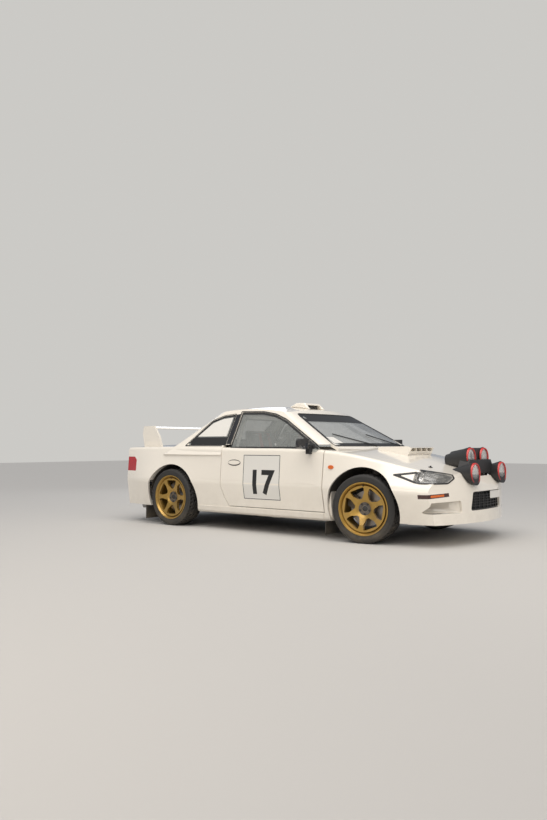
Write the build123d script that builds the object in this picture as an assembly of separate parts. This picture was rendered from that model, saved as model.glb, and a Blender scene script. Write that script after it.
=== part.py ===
from build123d import *
import math
import os

os.makedirs("parts", exist_ok=True)

# A two-door rally car. Millimetres: X forward to the nose, Y to the car's left, Z up.
# The origin is on the ground, on the centre line, half way along the car.

# Overall body sizes
LENGTH = 4340
WHEELBASE = 2520
FRONT_AXLE_X = 1290
REAR_AXLE_X = FRONT_AXLE_X - WHEELBASE
NOSE_X = LENGTH / 2
TAIL_X = -LENGTH / 2
FLOOR_Z = 170
SIDE_Z = 500

# Walls, seams and gaps
SKIN = 20
WALL = 65
PILLAR = 42
ROOF = 26
GLASS = 5
GLASS_INSET = 4
FIT = 0.3
SHUT = 6

# Wheels
TYRE_R = 318
TYRE_WIDTH = 225
WHEEL_FACE_Y = 862
WHEEL_Y = WHEEL_FACE_Y - TYRE_WIDTH / 2
KINGPIN_Y = 680
STEER_AT_REST = 8
ARCH_R = 390
FRONT_ARCH_Z = 312
REAR_ARCH_Z = 300

# Doors
DOOR_FRONT_X = 850
DOOR_REAR_X = -470
DOOR_LOW_Z = 262
DOOR_TOP_Z = 905
DOOR_FRONT_GAP = 9
HINGE_INSET_X = 40
HINGE_Y = 833

# Bonnet, boot lid and their hinges
BONNET_REAR_X = 981
BONNET_REAR_BOW = 120
BONNET_REAR_HALF = 702
BONNET_FRONT_X = 2040
BONNET_FRONT_HALF = 560
BONNET_LOW_Z = 622
BONNET_HINGE = (1001, 836)
BONNET_REAR_GAP = 36
BOOT_FRONT_X = -1298
BOOT_FRONT_BOW = 110
BOOT_HALF = 702
BOOT_LOW_Z = 600
BOOT_HINGE = (-1323, 881)
BOOT_FRONT_GAP = 44
HINGE_SIDE = 655
PIN_R = 5
STAY_R = 8
STAY_WIDTH = 12
STAY_DROP = 52
LUG_R = 9
BONNET_STAY_REACH = 65
BOOT_STAY_REACH = 73
BONNET_FOOT_Y = 681
BOOT_FOOT_Y = 1000
LID_POCKET_HALF = 11
PIN_GRIP = 6

# Door hinges: pin heights, and the pin and arm that carry the door
DOOR_HINGE_Z = (434, 550)
HINGE_HEIGHT = 40
HINGE_PIN_R = 5
HINGE_ARM_R = 8
HINGE_POCKET_R = 112
POST_OUTER_Y = 800
FLANGE_Y = 650
POST_DEPTH = 70
POST_LOW_Z = FLOOR_Z + SKIN + 4

# Jack pads under the sills
JACK_PAD_X = (150, 250)
JACK_PAD_Y = (670, 730)
JACK_PAD_DROP = 4

# Bumpers
BUMPER_LOW_Z = 205
BUMPER_TOP_Z = 565
BUMPER_REAR_X = 1600
LIP_REAR_X = 1740
REAR_BUMPER_TOP_Z = 560
REAR_BUMPER_FRONT_X = -1560

# Body sections from tail to nose.
# Columns: x, half width at the sill, at the crease, at the shoulder, shoulder height, crown height
BODY_SECTIONS = (
    (-2230, 720, 790, 735, 862, 898),
    (-1800, 770, 850, 775, 884, 916),
    (-1230, 800, 886, 805, 888, 920),
    (-600, 790, 850, 822, 882, 918),
    (100, 790, 847, 822, 874, 912),
    (800, 790, 852, 812, 860, 900),
    (1290, 800, 886, 790, 795, 850),
    (1850, 770, 850, 735, 675, 735),
    (2230, 700, 760, 640, 600, 640),
)
SILL_ROUND = 55
CREASE_ROUND = 110
SHOULDER_ROUND = 40
CROWN_ROUND = 2500

# Plan of the nose and tail: half width where the curved end meets the corner, and its depth there
CORNER_HALF = 750
NOSE_BOW = 190
TAIL_BOW = 110
SIDE_LIMIT = 910
END_ROUND = 170

# Side view of the nose and tail. Columns: how far back from the end, height
NOSE_PROFILE = ((0, 150), (0, 440), (30, 540), (95, 640), (230, 760))
TAIL_PROFILE = ((60, 150), (0, 300), (0, 480), (55, 590), (95, 1000))

# Cabin above the belt: plan outlines at two heights, between which its sides are straight.
# Columns: height, front corner x, rear corner x, half width, front bow, rear bow, corner radius
CABIN_LOW = (800, 1049, -1419, 842, 120, 100, 120)
CABIN_HIGH = (1420, -46, -455, 519, 90, 60, 60)
ROOF_PEAK_X = -290
ROOF_PEAK_Z = 1338
ROOF_ARC_ALONG = 3300
ROOF_ARC_ACROSS = 4200

# Window outlines in side view. Columns: x, z
DOOR_GLASS = ((800, 870), (268, 1160), (110, 1218), (-60, 1248), (-366, 1256), (-372, 870))
QUARTER_GLASS = ((-448, 902), (-446, 1243), (-610, 1228), (-770, 1176), (-1050, 902))
WINDOW_ROUND = 20
GLASS_FOOT_Z = 836

# Windscreen and rear window in front view. Columns: half width, height
WINDSCREEN = ((690, 902), (520, 1228))
REAR_WINDOW = ((640, 955), (500, 1232))
SCREEN_ROUND = 45

# Headlamp outline in front view. Columns: y, z
HEADLAMP = ((815, 640), (812, 562), (620, 562), (545, 608), (575, 650), (700, 684))
HEADLAMP_REAR_X = 1800


def face_of(points, radius=0):
    face = Face(Wire.make_polygon(points, close=True))
    if radius:
        face = face.fillet_2d(radius, face.vertices())
    return face


def side_prism(points, y0, y1, radius=0):
    """A side-view outline, taken across the car from y0 to y1."""
    face = face_of([(x, y0, z) for x, z in points], radius)
    return Solid.extrude(face, Vector(0, y1 - y0, 0))


def plan_prism(points, z0, z1, radius=0):
    """A plan outline, taken up from z0 to z1."""
    face = face_of([(x, y, z0) for x, y in points], radius)
    return Solid.extrude(face, Vector(0, 0, z1 - z0))


def front_prism(points, x0, x1, radius=0):
    """A front-view outline, taken along the car from x0 to x1."""
    face = face_of([(x0, y, z) for y, z in points], radius)
    return Solid.extrude(face, Vector(x1 - x0, 0, 0))


def block(x0, x1, y0, y1, z0, z1):
    size = (abs(x1 - x0), abs(y1 - y0), abs(z1 - z0))
    middle = ((x0 + x1) / 2, (y0 + y1) / 2, (z0 + z1) / 2)
    return Pos(*middle) * Box(*size)


def rod(start, end, radius):
    """A round bar between two points."""
    a = Vector(*start)
    b = Vector(*end)
    return Solid.make_cylinder(radius, (b - a).length, Plane(origin=a, z_dir=b - a))


def across(x, z, radius, y0, y1):
    """A cylinder across the car."""
    return rod((x, y0, z), (x, y1, z), radius)


def mirrored(shape):
    return shape.mirror(Plane.XZ)


def both_sides(shape):
    return [shape, mirrored(shape)]


def grown(points, by):
    """The outline with each side moved out by a distance, corners mitred."""
    count = len(points)
    area = sum(points[i][0] * points[(i + 1) % count][1] - points[(i + 1) % count][0] * points[i][1]
               for i in range(count))
    sign = 1 if area > 0 else -1
    result = []
    for i in range(count):
        before = points[i - 1]
        here = points[i]
        after = points[(i + 1) % count]
        first = Vector(here[0] - before[0], here[1] - before[1]).normalized()
        second = Vector(after[0] - here[0], after[1] - here[1]).normalized()
        out_1 = Vector(first.Y, -first.X) * sign
        out_2 = Vector(second.Y, -second.X) * sign
        middle = (out_1 + out_2).normalized()
        step = middle * (by / middle.dot(out_1))
        result.append((here[0] + step.X, here[1] + step.Y))
    return result


def mirror_points(points):
    return [(-y, z) for y, z in reversed(points)]


def solids_of(shape):
    if isinstance(shape, (list, tuple)):
        return [solid for item in shape for solid in solids_of(item)]
    return list(shape.solids())


def largest(shape):
    return max(shape.solids(), key=lambda solid: solid.volume)


nodes = {}


def add(name, shape):
    nodes[name] = Compound(children=solids_of(shape))


# Outer form of the body

def body_section(row, side_in, top_in, floor_in):
    x, low, side, shoulder, shoulder_z, crown_z = row
    half = (
        (low - side_in, FLOOR_Z + floor_in, SILL_ROUND),
        (side - side_in, SIDE_Z, CREASE_ROUND),
        (shoulder - side_in, shoulder_z - top_in, SHOULDER_ROUND),
    )
    right = [((x, y, z), r) for y, z, r in half]
    left = [((x, -y, z), r) for y, z, r in reversed(half)]
    rows = right + [((x, 0, crown_z - top_in), CROWN_ROUND)] + left
    path = FilletPolyline(*[point for point, _ in rows], radius=[r for _, r in rows], close=True)
    return Wire(path.edges())


def nose_and_tail(inset):
    """The plan of the body with its curved ends, as a tall prism."""
    nose = NOSE_X - inset
    tail = TAIL_X + inset
    corner = CORNER_HALF
    side = SIDE_LIMIT
    front_corner_x = nose - NOSE_BOW * (side / corner) ** 2
    rear_corner_x = tail + TAIL_BOW * (side / corner) ** 2
    edges = [
        ThreePointArc((front_corner_x, -side), (nose, 0), (front_corner_x, side)),
        Line((front_corner_x, side), (rear_corner_x, side)),
        ThreePointArc((rear_corner_x, side), (tail, 0), (rear_corner_x, -side)),
        Line((rear_corner_x, -side), (front_corner_x, -side)),
    ]
    face = Face(Wire(edges))
    face = face.fillet_2d(END_ROUND, face.vertices())
    return Solid.extrude(face, Vector(0, 0, 1600))


def end_profile(inset):
    nose = [(NOSE_X - inset - back, z) for back, z in NOSE_PROFILE]
    tail = [(TAIL_X + inset + back, z) for back, z in TAIL_PROFILE]
    top = [(nose[-1][0] - 400, 1500), (tail[-1][0], 1500)]
    return side_prism(nose + top + list(reversed(tail)), -1000, 1000)


def lower_body(side_in=0, top_in=0, floor_in=0):
    sections = [body_section(row, side_in, top_in, floor_in) for row in BODY_SECTIONS]
    hull = Solid.make_loft(sections)
    return (hull & nose_and_tail(side_in)) & end_profile(side_in)


def cabin_outline(row, inset):
    z, front, rear, half, front_bow, rear_bow, corner = row
    x0 = rear + inset
    x1 = front - inset
    y = half - inset
    edges = [
        ThreePointArc((x1, -y, z), (x1 + front_bow, 0, z), (x1, y, z)),
        Line((x1, y, z), (x0, y, z)),
        ThreePointArc((x0, y, z), (x0 - rear_bow, 0, z), (x0, -y, z)),
        Line((x0, -y, z), (x1, -y, z)),
    ]
    face = Face(Wire(edges))
    return face.fillet_2d(corner, face.vertices()).outer_wire()


def roof_dome(drop):
    """A doubly curved roof: an arc across the car, turned about an axis far below it."""
    half = 900
    sag = ROOF_ARC_ACROSS - math.sqrt(ROOF_ARC_ACROSS ** 2 - half ** 2)
    top = ROOF_PEAK_Z - drop
    x = ROOF_PEAK_X
    edges = [
        ThreePointArc((x, -half, top - sag), (x, 0, top), (x, half, top - sag)),
        Line((x, half, top - sag), (x, half, 600)),
        Line((x, half, 600), (x, -half, 600)),
        Line((x, -half, 600), (x, -half, top - sag)),
    ]
    face = Face(Wire(edges))
    axis = Axis((x, 0, ROOF_PEAK_Z - ROOF_ARC_ALONG), (0, 1, 0))
    turned = face.rotate(axis, -35)
    return Solid.revolve(turned, 70, axis)


def cabin(inset=0, drop=0):
    loft = Solid.make_loft([cabin_outline(CABIN_LOW, inset), cabin_outline(CABIN_HIGH, inset)], ruled=True)
    return loft & roof_dome(drop)


outer_low = lower_body()
skin_low = lower_body(SKIN, SKIN, SKIN)
wall_low = lower_body(WALL, SKIN, SKIN)
outer_cabin = cabin()
inner_cabin = cabin(PILLAR, ROOF)
glass_outer = cabin(GLASS_INSET, GLASS_INSET)
glass_layer = glass_outer - cabin(GLASS_INSET + GLASS, GLASS_INSET + GLASS)
slot_layer = cabin(GLASS_INSET - FIT, GLASS_INSET - FIT) - cabin(GLASS_INSET + GLASS + FIT, GLASS_INSET + GLASS + FIT)
skin_layer = outer_low - skin_low
wall_layer = outer_low - wall_low
inside_wall = lower_body(WALL + FIT, SKIN + FIT, SKIN + FIT)
inside_skin = lower_body(SKIN + FIT, SKIN + FIT, SKIN)
inside_shell = inside_wall + cabin(PILLAR + FIT, ROOF + FIT)
clear_of_body = lower_body(-SHUT, -FIT, 0)

# Panel outlines. Side views hold x, z and plan views hold x, y

DOOR = (
    (DOOR_FRONT_X, DOOR_LOW_Z),
    (DOOR_FRONT_X, DOOR_TOP_Z),
    (DOOR_REAR_X, DOOR_TOP_Z),
    (DOOR_REAR_X, 470),
    (DOOR_REAR_X + 40, 350),
    (DOOR_REAR_X + 95, DOOR_LOW_Z),
)
FENDER_REAR_X = DOOR_FRONT_X + DOOR_FRONT_GAP
DOOR_OPENING = [(FENDER_REAR_X if x > DOOR_FRONT_X else x, z) for x, z in grown(DOOR, SHUT)]
FRONT_BUMPER = (
    (BUMPER_REAR_X, BUMPER_LOW_Z),
    (NOSE_X + 50, BUMPER_LOW_Z),
    (NOSE_X + 50, BONNET_LOW_Z - SHUT),
    (2000, BONNET_LOW_Z - SHUT),
    (1900, BUMPER_TOP_Z - 3),
    (1760, BUMPER_TOP_Z - 10),
    (BUMPER_REAR_X, 450),
)
REAR_BUMPER = (
    (REAR_BUMPER_FRONT_X, BUMPER_LOW_Z),
    (TAIL_X - 50, BUMPER_LOW_Z),
    (TAIL_X - 50, REAR_BUMPER_TOP_Z),
    (-1700, REAR_BUMPER_TOP_Z),
    (REAR_BUMPER_FRONT_X, REAR_BUMPER_TOP_Z - 60),
)
TAIL_LAMP = ((-1870, 602), (-2300, 602), (-2300, 768), (-1925, 768), (-1880, 730))
TAIL_LAMP_INNER = 480
MOUTH = ((335, 312), (300, 482))
INDICATOR = ((836, 432), (840, 468), (612, 482), (606, 450))
INDICATOR_REAR_X = 1862
BRAKE_DUCT = ((800, 300), (790, 398), (470, 410), (450, 300))


def both_prisms(prism):
    return [prism, mirrored(prism)]


def side_limits(points, radius=0):
    """The same side-view outline on both sides of the car."""
    return both_prisms(side_prism(points, 300, 1000, radius))


def paired(outline):
    """A half outline in front view, closed with its mirror image."""
    return list(outline) + mirror_points(outline)


def lid_prism(edge_x, bow, half, far_points, z0, z1, by=0, edge_by=0):
    """A lid's plan, taken up: its hinge edge is an arc, and the far points close it."""
    sign = 1 if far_points[0][0] > edge_x else -1
    x = edge_x - sign * edge_by
    y = half + by
    outline = [(x, -y)] + [(px, py) for px, py in far_points] + [(x, y)]
    edges = [Line((a[0], a[1], z0), (b[0], b[1], z0)) for a, b in zip(outline, outline[1:])]
    edges.append(ThreePointArc((x, y, z0), (x + sign * bow, 0, z0), (x, -y, z0)))
    return Solid.extrude(Face(Wire(edges)), Vector(0, 0, z1 - z0))


def bonnet_prism(z0, z1, by=0):
    front = BONNET_FRONT_X + by
    half = BONNET_FRONT_HALF + by
    far = [(front - 110, -half - 30), (front, -half + 60), (front + 10, 0), (front, half - 60), (front - 110, half + 30)]
    return lid_prism(BONNET_REAR_X, BONNET_REAR_BOW, BONNET_REAR_HALF, far, z0, z1, by, by)


def boot_prism(z0, z1, by=0, edge_by=0):
    half = BOOT_HALF + by
    far = [(TAIL_X - 60, -half), (TAIL_X - 60, half)]
    return lid_prism(BOOT_FRONT_X, BOOT_FRONT_BOW, BOOT_HALF, far, z0, z1, by, edge_by)


def behind_bonnet(gap, side=0):
    """The cowl, from the doors to a gap behind the bonnet's edge."""
    y = BONNET_REAR_HALF + side
    x = BONNET_REAR_X - gap
    edges = [
        ThreePointArc((x, y, 600), (x + BONNET_REAR_BOW, 0, 600), (x, -y, 600)),
        Line((x, -y, 600), (700, -y, 600)),
        Line((700, -y, 600), (700, y, 600)),
        Line((700, y, 600), (x, y, 600)),
    ]
    return Solid.extrude(Face(Wire(edges)), Vector(0, 0, 900))


front_arches = across(FRONT_AXLE_X, FRONT_ARCH_Z, ARCH_R, -1000, 1000)
rear_arches = across(REAR_AXLE_X, REAR_ARCH_Z, ARCH_R, -1000, 1000)
cowl = behind_bonnet(BONNET_REAR_GAP)
cowl_and_gap = behind_bonnet(0, FIT)
ahead_of_doors = block(FENDER_REAR_X, NOSE_X + 100, -1000, 1000, 0, 1000)
bonnet_area = bonnet_prism(BONNET_LOW_Z, 1200)
bonnet_gap = bonnet_prism(BONNET_LOW_Z - SHUT, 1200, SHUT)
lamp_area = front_prism(HEADLAMP, HEADLAMP_REAR_X, 2250, 14)
lamp_gap = front_prism(grown(HEADLAMP, FIT), HEADLAMP_REAR_X - FIT, 2250, 14)
front_bumper_area = side_prism(FRONT_BUMPER, -1000, 1000)
front_bumper_gap = side_prism(grown(FRONT_BUMPER, FIT), -1000, 1000)
rear_bumper_area = side_prism(REAR_BUMPER, -1000, 1000)
rear_bumper_gap = side_prism(grown(REAR_BUMPER, FIT), -1000, 1000)
boot_area = boot_prism(BOOT_LOW_Z, 1200)
boot_gap = boot_prism(REAR_BUMPER_TOP_Z, 1200, SHUT, BOOT_FRONT_GAP)
tail_lamp_area = side_prism(TAIL_LAMP, TAIL_LAMP_INNER, 1000, 8)
tail_lamp_gap = side_prism(grown(TAIL_LAMP, FIT), TAIL_LAMP_INNER - FIT, 1000, 8)
tail_lamp_shut = side_prism(grown(TAIL_LAMP, SHUT), TAIL_LAMP_INNER - SHUT, 1000, 8)


def carved(shape, tools):
    """The shape with each tool cut away in turn."""
    for tool in tools:
        shape = shape - tool
    return shape


def make_body_shell():
    shell = carved(wall_layer + (outer_cabin - inner_cabin), [inner_cabin, wall_low])
    shell = carved(shell, [ahead_of_doors - cowl, rear_bumper_gap, boot_gap, rear_arches])
    shell = carved(shell, side_limits(DOOR_OPENING))
    shell = carved(shell, side_limits(grown(DOOR_GLASS, SHUT), WINDOW_ROUND))
    shell = carved(shell, side_limits(QUARTER_GLASS, WINDOW_ROUND))
    shell -= front_prism(paired(WINDSCREEN), 150, 1300, SCREEN_ROUND)
    shell -= front_prism(paired(REAR_WINDOW), -1600, -520, SCREEN_ROUND)
    shell = carved(shell, both_prisms(tail_lamp_gap))
    shell -= block(-2300, 1200, -FLANGE_Y, FLANGE_Y, 0, 300)
    shell -= block(-2300, REAR_AXLE_X, -1000, 1000, 0, BUMPER_LOW_Z + 5)
    shell = largest(shell)
    post = block(FENDER_REAR_X, FENDER_REAR_X + POST_DEPTH, 660, POST_OUTER_Y, POST_LOW_Z, 790) & inside_skin
    post += block(FENDER_REAR_X, FENDER_REAR_X + POST_DEPTH, 662, 698, 780, 846)
    post += block(DOOR_FRONT_X - 6, FENDER_REAR_X, 732, 768, FLOOR_Z + SKIN, 245)
    post += block(*JACK_PAD_X, *JACK_PAD_Y, FLOOR_Z - JACK_PAD_DROP, FLOOR_Z + 6)
    return shell + both_prisms(post)


def lid_stay(hinge, forward, reach, foot_y):
    """The left bracket under the body's edge that holds a lid's hinge pin, bored for the pin."""
    x, z = hinge
    back = x - forward * reach
    y0 = HINGE_SIDE - STAY_WIDTH / 2
    y1 = HINGE_SIDE + STAY_WIDTH / 2
    low = z - STAY_DROP
    stay = across(x, z, STAY_R, y0, y1)
    stay += block(x - forward * STAY_R, x + forward * STAY_R, y0, y1, low, z)
    stay += block(back, x + forward * STAY_R, y0, y1, low, low + 20)
    stay += block(back, back + forward * 18, y0 - 20, foot_y, low, z + 20) & inside_shell
    return stay - across(x, z, PIN_R + FIT, y0 - 1, y1 + 1)


def lid_hinge(hinge, forward, top_z):
    """A lid's lug at the left hinge, the pocket and bore cut in it, and the pin."""
    x, z = hinge
    y0 = HINGE_SIDE - LID_POCKET_HALF
    y1 = HINGE_SIDE + LID_POCKET_HALF
    pocket = block(x - forward * 90, x + forward * (STAY_R + 5), y0, y1, z - 100, top_z)
    bore = across(x, z, PIN_R + FIT, y0 - PIN_GRIP - FIT, y1 + PIN_GRIP + FIT)
    lug = across(x, z, LUG_R, y0 - PIN_GRIP - 3, y1 + PIN_GRIP + 3)
    return lug, [pocket, bore], across(x, z, PIN_R, y0 - PIN_GRIP, y1 + PIN_GRIP)


def hinged_lid(lid, hinge, forward):
    """A lid with its hinge lugs, pockets and bores, and its two pins in place."""
    lug, tools, pin = lid_hinge(hinge, forward, hinge[1] + STAY_R + 1.5)
    for piece in both_prisms(lug):
        lid = lid + piece
    for tool in tools:
        lid = carved(lid, both_prisms(tool))
    return [largest(lid), *both_prisms(pin)]


def door_hinge_arms():
    """Arms of the left door hinges, from the post round the door's inner corner to the pin."""
    x = DOOR_FRONT_X - HINGE_INSET_X
    arms = []
    for z in DOOR_HINGE_Z:
        top = z + HINGE_HEIGHT
        arm = rod((x, HINGE_Y, z), (x, HINGE_Y, top), HINGE_ARM_R)
        arm += block(x - 8, x + 8, HINGE_Y, POST_OUTER_Y - 52, z, top)
        arm += block(x - 8, FENDER_REAR_X - FIT, POST_OUTER_Y - 52, POST_OUTER_Y - 36, z, top)
        arms.append(arm - rod((x, HINGE_Y, z - 1), (x, HINGE_Y, top + 1), HINGE_PIN_R + FIT))
    return arms


def door_hinge_pockets():
    """Room in the left door for its hinge arms through the whole swing, bores, and the pins."""
    x = DOOR_FRONT_X - HINGE_INSET_X
    tools = []
    pins = []
    for z in DOOR_HINGE_Z:
        low = z - SHUT
        top = z + HINGE_HEIGHT + SHUT
        fan = [(x + HINGE_POCKET_R * math.cos(math.radians(a)), HINGE_Y + HINGE_POCKET_R * math.sin(math.radians(a)))
               for a in (-112, -80, -50, -20)]
        outer = HINGE_Y + HINGE_ARM_R + 1
        room = plan_prism([(x - 14, HINGE_Y), *fan, (x + 6, outer), (x - 6, outer)], low, top)
        tools.append(room + rod((x, HINGE_Y, low), (x, HINGE_Y, top), HINGE_ARM_R + 1.5))
        tools.append(rod((x, HINGE_Y, low - PIN_GRIP - FIT), (x, HINGE_Y, top + PIN_GRIP + FIT), HINGE_PIN_R + FIT))
        pins.append(rod((x, HINGE_Y, low - PIN_GRIP), (x, HINGE_Y, top + PIN_GRIP), HINGE_PIN_R))
    return tools, pins


def make_hinge_arms():
    stays = [
        lid_stay(BONNET_HINGE, 1, BONNET_STAY_REACH, BONNET_FOOT_Y),
        lid_stay(BOOT_HINGE, -1, BOOT_STAY_REACH, BOOT_FOOT_Y),
    ]
    return [both_prisms(piece) for piece in stays + door_hinge_arms()]


def make_door():
    side = side_prism(DOOR, 300, 1000)
    slot = slot_layer & block(-700, 1000, 300, 1000, GLASS_FOOT_Z - FIT, 1200)
    tools, pins = door_hinge_pockets()
    return [largest(carved(wall_layer & side, [slot, inner_cabin] + tools)), *pins]


def make_door_glass():
    outline = list(DOOR_GLASS[1:5]) + [(DOOR_GLASS[5][0], GLASS_FOOT_Z), (760, GLASS_FOOT_Z), DOOR_GLASS[0]]
    return glass_layer & side_prism(outline, 300, 1000)


def make_quarter_glass():
    return glass_layer & side_prism(grown(QUARTER_GLASS, -FIT), 300, 1000, WINDOW_ROUND)


def make_screen(outline, x0, x1):
    return glass_layer & front_prism(grown(paired(outline), -FIT), x0, x1, SCREEN_ROUND)


def make_front_fender():
    area = block(FENDER_REAR_X, NOSE_X, 300, 1000, 180, 1000)
    tools = [bonnet_gap, lamp_gap, front_bumper_gap, front_arches, cowl_and_gap]
    return largest(carved(skin_layer & area, tools))


def make_front_bumper():
    duct_in = front_prism(BRAKE_DUCT, 1700, 2250, 16)
    slot = front_prism(grown(INDICATOR, FIT), INDICATOR_REAR_X - FIT, 2250)
    cuts = [front_arches, bonnet_gap, front_prism(paired(MOUTH), 1900, 2250, 20)]
    cuts += both_prisms(duct_in) + both_prisms(slot) + both_prisms(lamp_gap)
    bumper = largest(carved(skin_layer & front_bumper_area, cuts))
    lip = outer_low & block(LIP_REAR_X, NOSE_X, -1000, 1000, BUMPER_LOW_Z - 4, BUMPER_LOW_Z + 12)
    return bumper + lip


def make_indicator():
    return skin_layer & front_prism(INDICATOR, INDICATOR_REAR_X, 2250)


def make_headlamp():
    return (wall_layer & lamp_area) - [bonnet_gap]


def make_tail_lamp():
    return wall_layer & tail_lamp_area


def make_rear_bumper():
    return (skin_layer & rear_bumper_area) - rear_arches


def make_bonnet():
    return hinged_lid(skin_layer & bonnet_area, BONNET_HINGE, 1)


def make_boot_lid():
    lid = carved(skin_layer & boot_area, both_prisms(tail_lamp_shut))
    return hinged_lid(lid, BOOT_HINGE, -1)


# Roof vent, bonnet scoop, mirrors and wing

ROOF_VENT = ((238, 1270), (132, 1372), (20, 1374), (-135, 1290))
ROOF_VENT_HALF = 175
ROOF_VENT_MOUTH = ((-128, 1292), (128, 1292), (118, 1345), (-118, 1345))
SCOOP = ((1105, 850), (1130, 884), (1440, 894), (1490, 880), (1450, 800))
SCOOP_HALF = 255
SCOOP_MOUTH = ((-225, 846), (225, 846), (215, 876), (-215, 876))
MIRROR_X = (655, 745)
MIRROR_Y = (846, 1000)
MIRROR_Z = (868, 968)
MIRROR_FOOT_Z = 818
WING_LEG = ((-1888, 1048), (-1868, 1135), (-1690, 1135), (-1600, 1010), (-1545, 860), (-1850, 860))
WING_LEG_Y = 682
WING_LEG_WIDTH = 26
WING_CHORD = ((-1886, 1118), (-1884, 1132), (-1760, 1130), (-1672, 1112), (-1668, 1102), (-1760, 1100))


def make_roof_vent():
    body = side_prism(ROOF_VENT, -ROOF_VENT_HALF, ROOF_VENT_HALF)
    ends = front_prism([(-ROOF_VENT_HALF, 1200), (ROOF_VENT_HALF, 1200), (ROOF_VENT_HALF - 30, 1380),
                        (30 - ROOF_VENT_HALF, 1380)], -300, 400, 24)
    mouth = front_prism(ROOF_VENT_MOUTH, 40, 400, 24)
    return largest((body & ends) - [cabin(-FIT, -FIT), mouth])


def make_scoop():
    body = side_prism(SCOOP, -SCOOP_HALF, SCOOP_HALF)
    ends = front_prism([(-SCOOP_HALF, 700), (SCOOP_HALF, 700), (SCOOP_HALF - 16, 905), (16 - SCOOP_HALF, 905)], 1000, 1600, 14)
    mouth = front_prism(SCOOP_MOUTH, 1300, 1600, 12)
    return largest((body & ends) - [clear_of_body, mouth])


def make_mirror():
    """The left mirror: a housing rounded in front view and in plan, on a short foot."""
    y0, y1 = MIRROR_Y
    z0, z1 = MIRROR_Z
    x0, x1 = MIRROR_X
    face = front_prism([(y0, z0), (y1, z0), (y1, z1), (y0, z1)], x0 - 20, x1 + 20, 38)
    edges = [
        ThreePointArc((x0 + 30, y0, z0 - 1), (x1, (y0 + y1) / 2, z0 - 1), (x0 + 25, y1, z0 - 1)),
        Line((x0 + 25, y1, z0 - 1), (x0, y1, z0 - 1)),
        Line((x0, y1, z0 - 1), (x0, y0, z0 - 1)),
        Line((x0, y0, z0 - 1), (x0 + 30, y0, z0 - 1)),
    ]
    plan = Solid.extrude(Face(Wire(edges)), Vector(0, 0, z1 - z0 + 2))
    foot = block(x0 + 20, x0 + 62, 796, y0 + 20, MIRROR_FOOT_Z, z0 + 34)
    glass_side = cabin(-FIT, -FIT) & block(x0 - 20, x1 + 20, 0, y1, GLASS_FOOT_Z, z1 + 100)
    return largest(((face & plan) + foot) - [lower_body(-FIT, -FIT, 0), glass_side])


def make_wing():
    leg = side_prism(WING_LEG, WING_LEG_Y - WING_LEG_WIDTH / 2, WING_LEG_Y + WING_LEG_WIDTH / 2)
    blade = side_prism(WING_CHORD, -WING_LEG_Y, WING_LEG_Y)
    return (blade + both_prisms(leg)) - clear_of_body


# Lamp pods: four round lamps in tapered pods on the bonnet.
# Columns: x of the lens, y, z, length of the pod behind it

LAMP_R = 100
LAMP_DEPTH = 22
PODS = (
    (2170, 312, 645, 230),
    (2060, 150, 782, 238),
)
POD_TAIL_R = 62
POD_WALL = 6


def make_pods():
    """The pods and the plate that joins them, above the bonnet and clear of the bumper."""
    pods = front_prism([(-330, 640), (330, 640), (240, 768), (-240, 768)], 1990, 2090)
    bowls = []
    for x, y, z, length in PODS:
        pod = Solid.make_cone(LAMP_R + POD_WALL, POD_TAIL_R, length, Plane(origin=(x, y, z), z_dir=(-1, 0, -0.12)))
        bowl = Solid.make_cylinder(LAMP_R, LAMP_DEPTH + FIT + 1, Plane(origin=(x + 1, y, z), z_dir=(-1, 0, 0)))
        pods = pods + both_prisms(pod)
        bowls += both_prisms(bowl)
    return largest(carved(pods - clear_of_body, bowls))


def make_pod_lamps():
    lamps = []
    for x, y, z, length in PODS:
        lamp = Solid.make_cylinder(LAMP_R - FIT, LAMP_DEPTH, Plane(origin=(x, y, z), z_dir=(-1, 0, 0)))
        lamps += both_prisms(lamp)
    return lamps


# Wheels, brakes, knuckles. Rim and tyre profiles hold radius and distance outward from the wheel's middle

RIM_R = 246
SEAT_R = 230
RIM_HALF = 110
RIM = (
    (RIM_R, RIM_HALF), (RIM_R, 103), (SEAT_R, 98), (SEAT_R, 66), (212, 50), (212, -66), (SEAT_R, -82), (SEAT_R, -98),
    (RIM_R, -103), (RIM_R, -RIM_HALF), (238, -RIM_HALF), (222, -92), (204, -72), (204, 52), (220, 84), (236, RIM_HALF),
)
HUB_BORE_R = 30
SPOKES = ((HUB_BORE_R, 60), (62, 62), (84, 74), (150, 90), (214, 94), (214, 62), (150, 60), (84, 40), (78, 20), (HUB_BORE_R, 20))
POCKET = ((94, -8), (150, -23), (203, -21.5), (203, 21.5), (150, 23), (94, 8))
SPOKE_COUNT = 6
TYRE_HALF = TYRE_WIDTH / 2
TYRE = (
    (SEAT_R + FIT, 97), (252, 101), (276, TYRE_HALF), (304, 107), (TYRE_R, 92),
    (TYRE_R, -92), (304, -107), (276, -TYRE_HALF), (252, -101), (SEAT_R + FIT, -97),
)
DISC_R = 165
DISC_Y = (722, 748)
HAT_R = 78
KNUCKLE_Y = (668, 702)
CALIPER_ANGLE = 155
RACK_Z = 214
RACK_X = FRONT_AXLE_X - 190
STRUT_Y = 560
STRUT_R = 24
SPRING_R = 48
LINK_R = 14


def turned(profile):
    """A profile of radius and place along the axle, turned about the axle."""
    face = Face(Wire.make_polygon([(r, y, 0) for r, y in profile], close=True))
    return Solid.revolve(face, 360, Axis((0, 0, 0), (0, 1, 0)))


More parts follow.
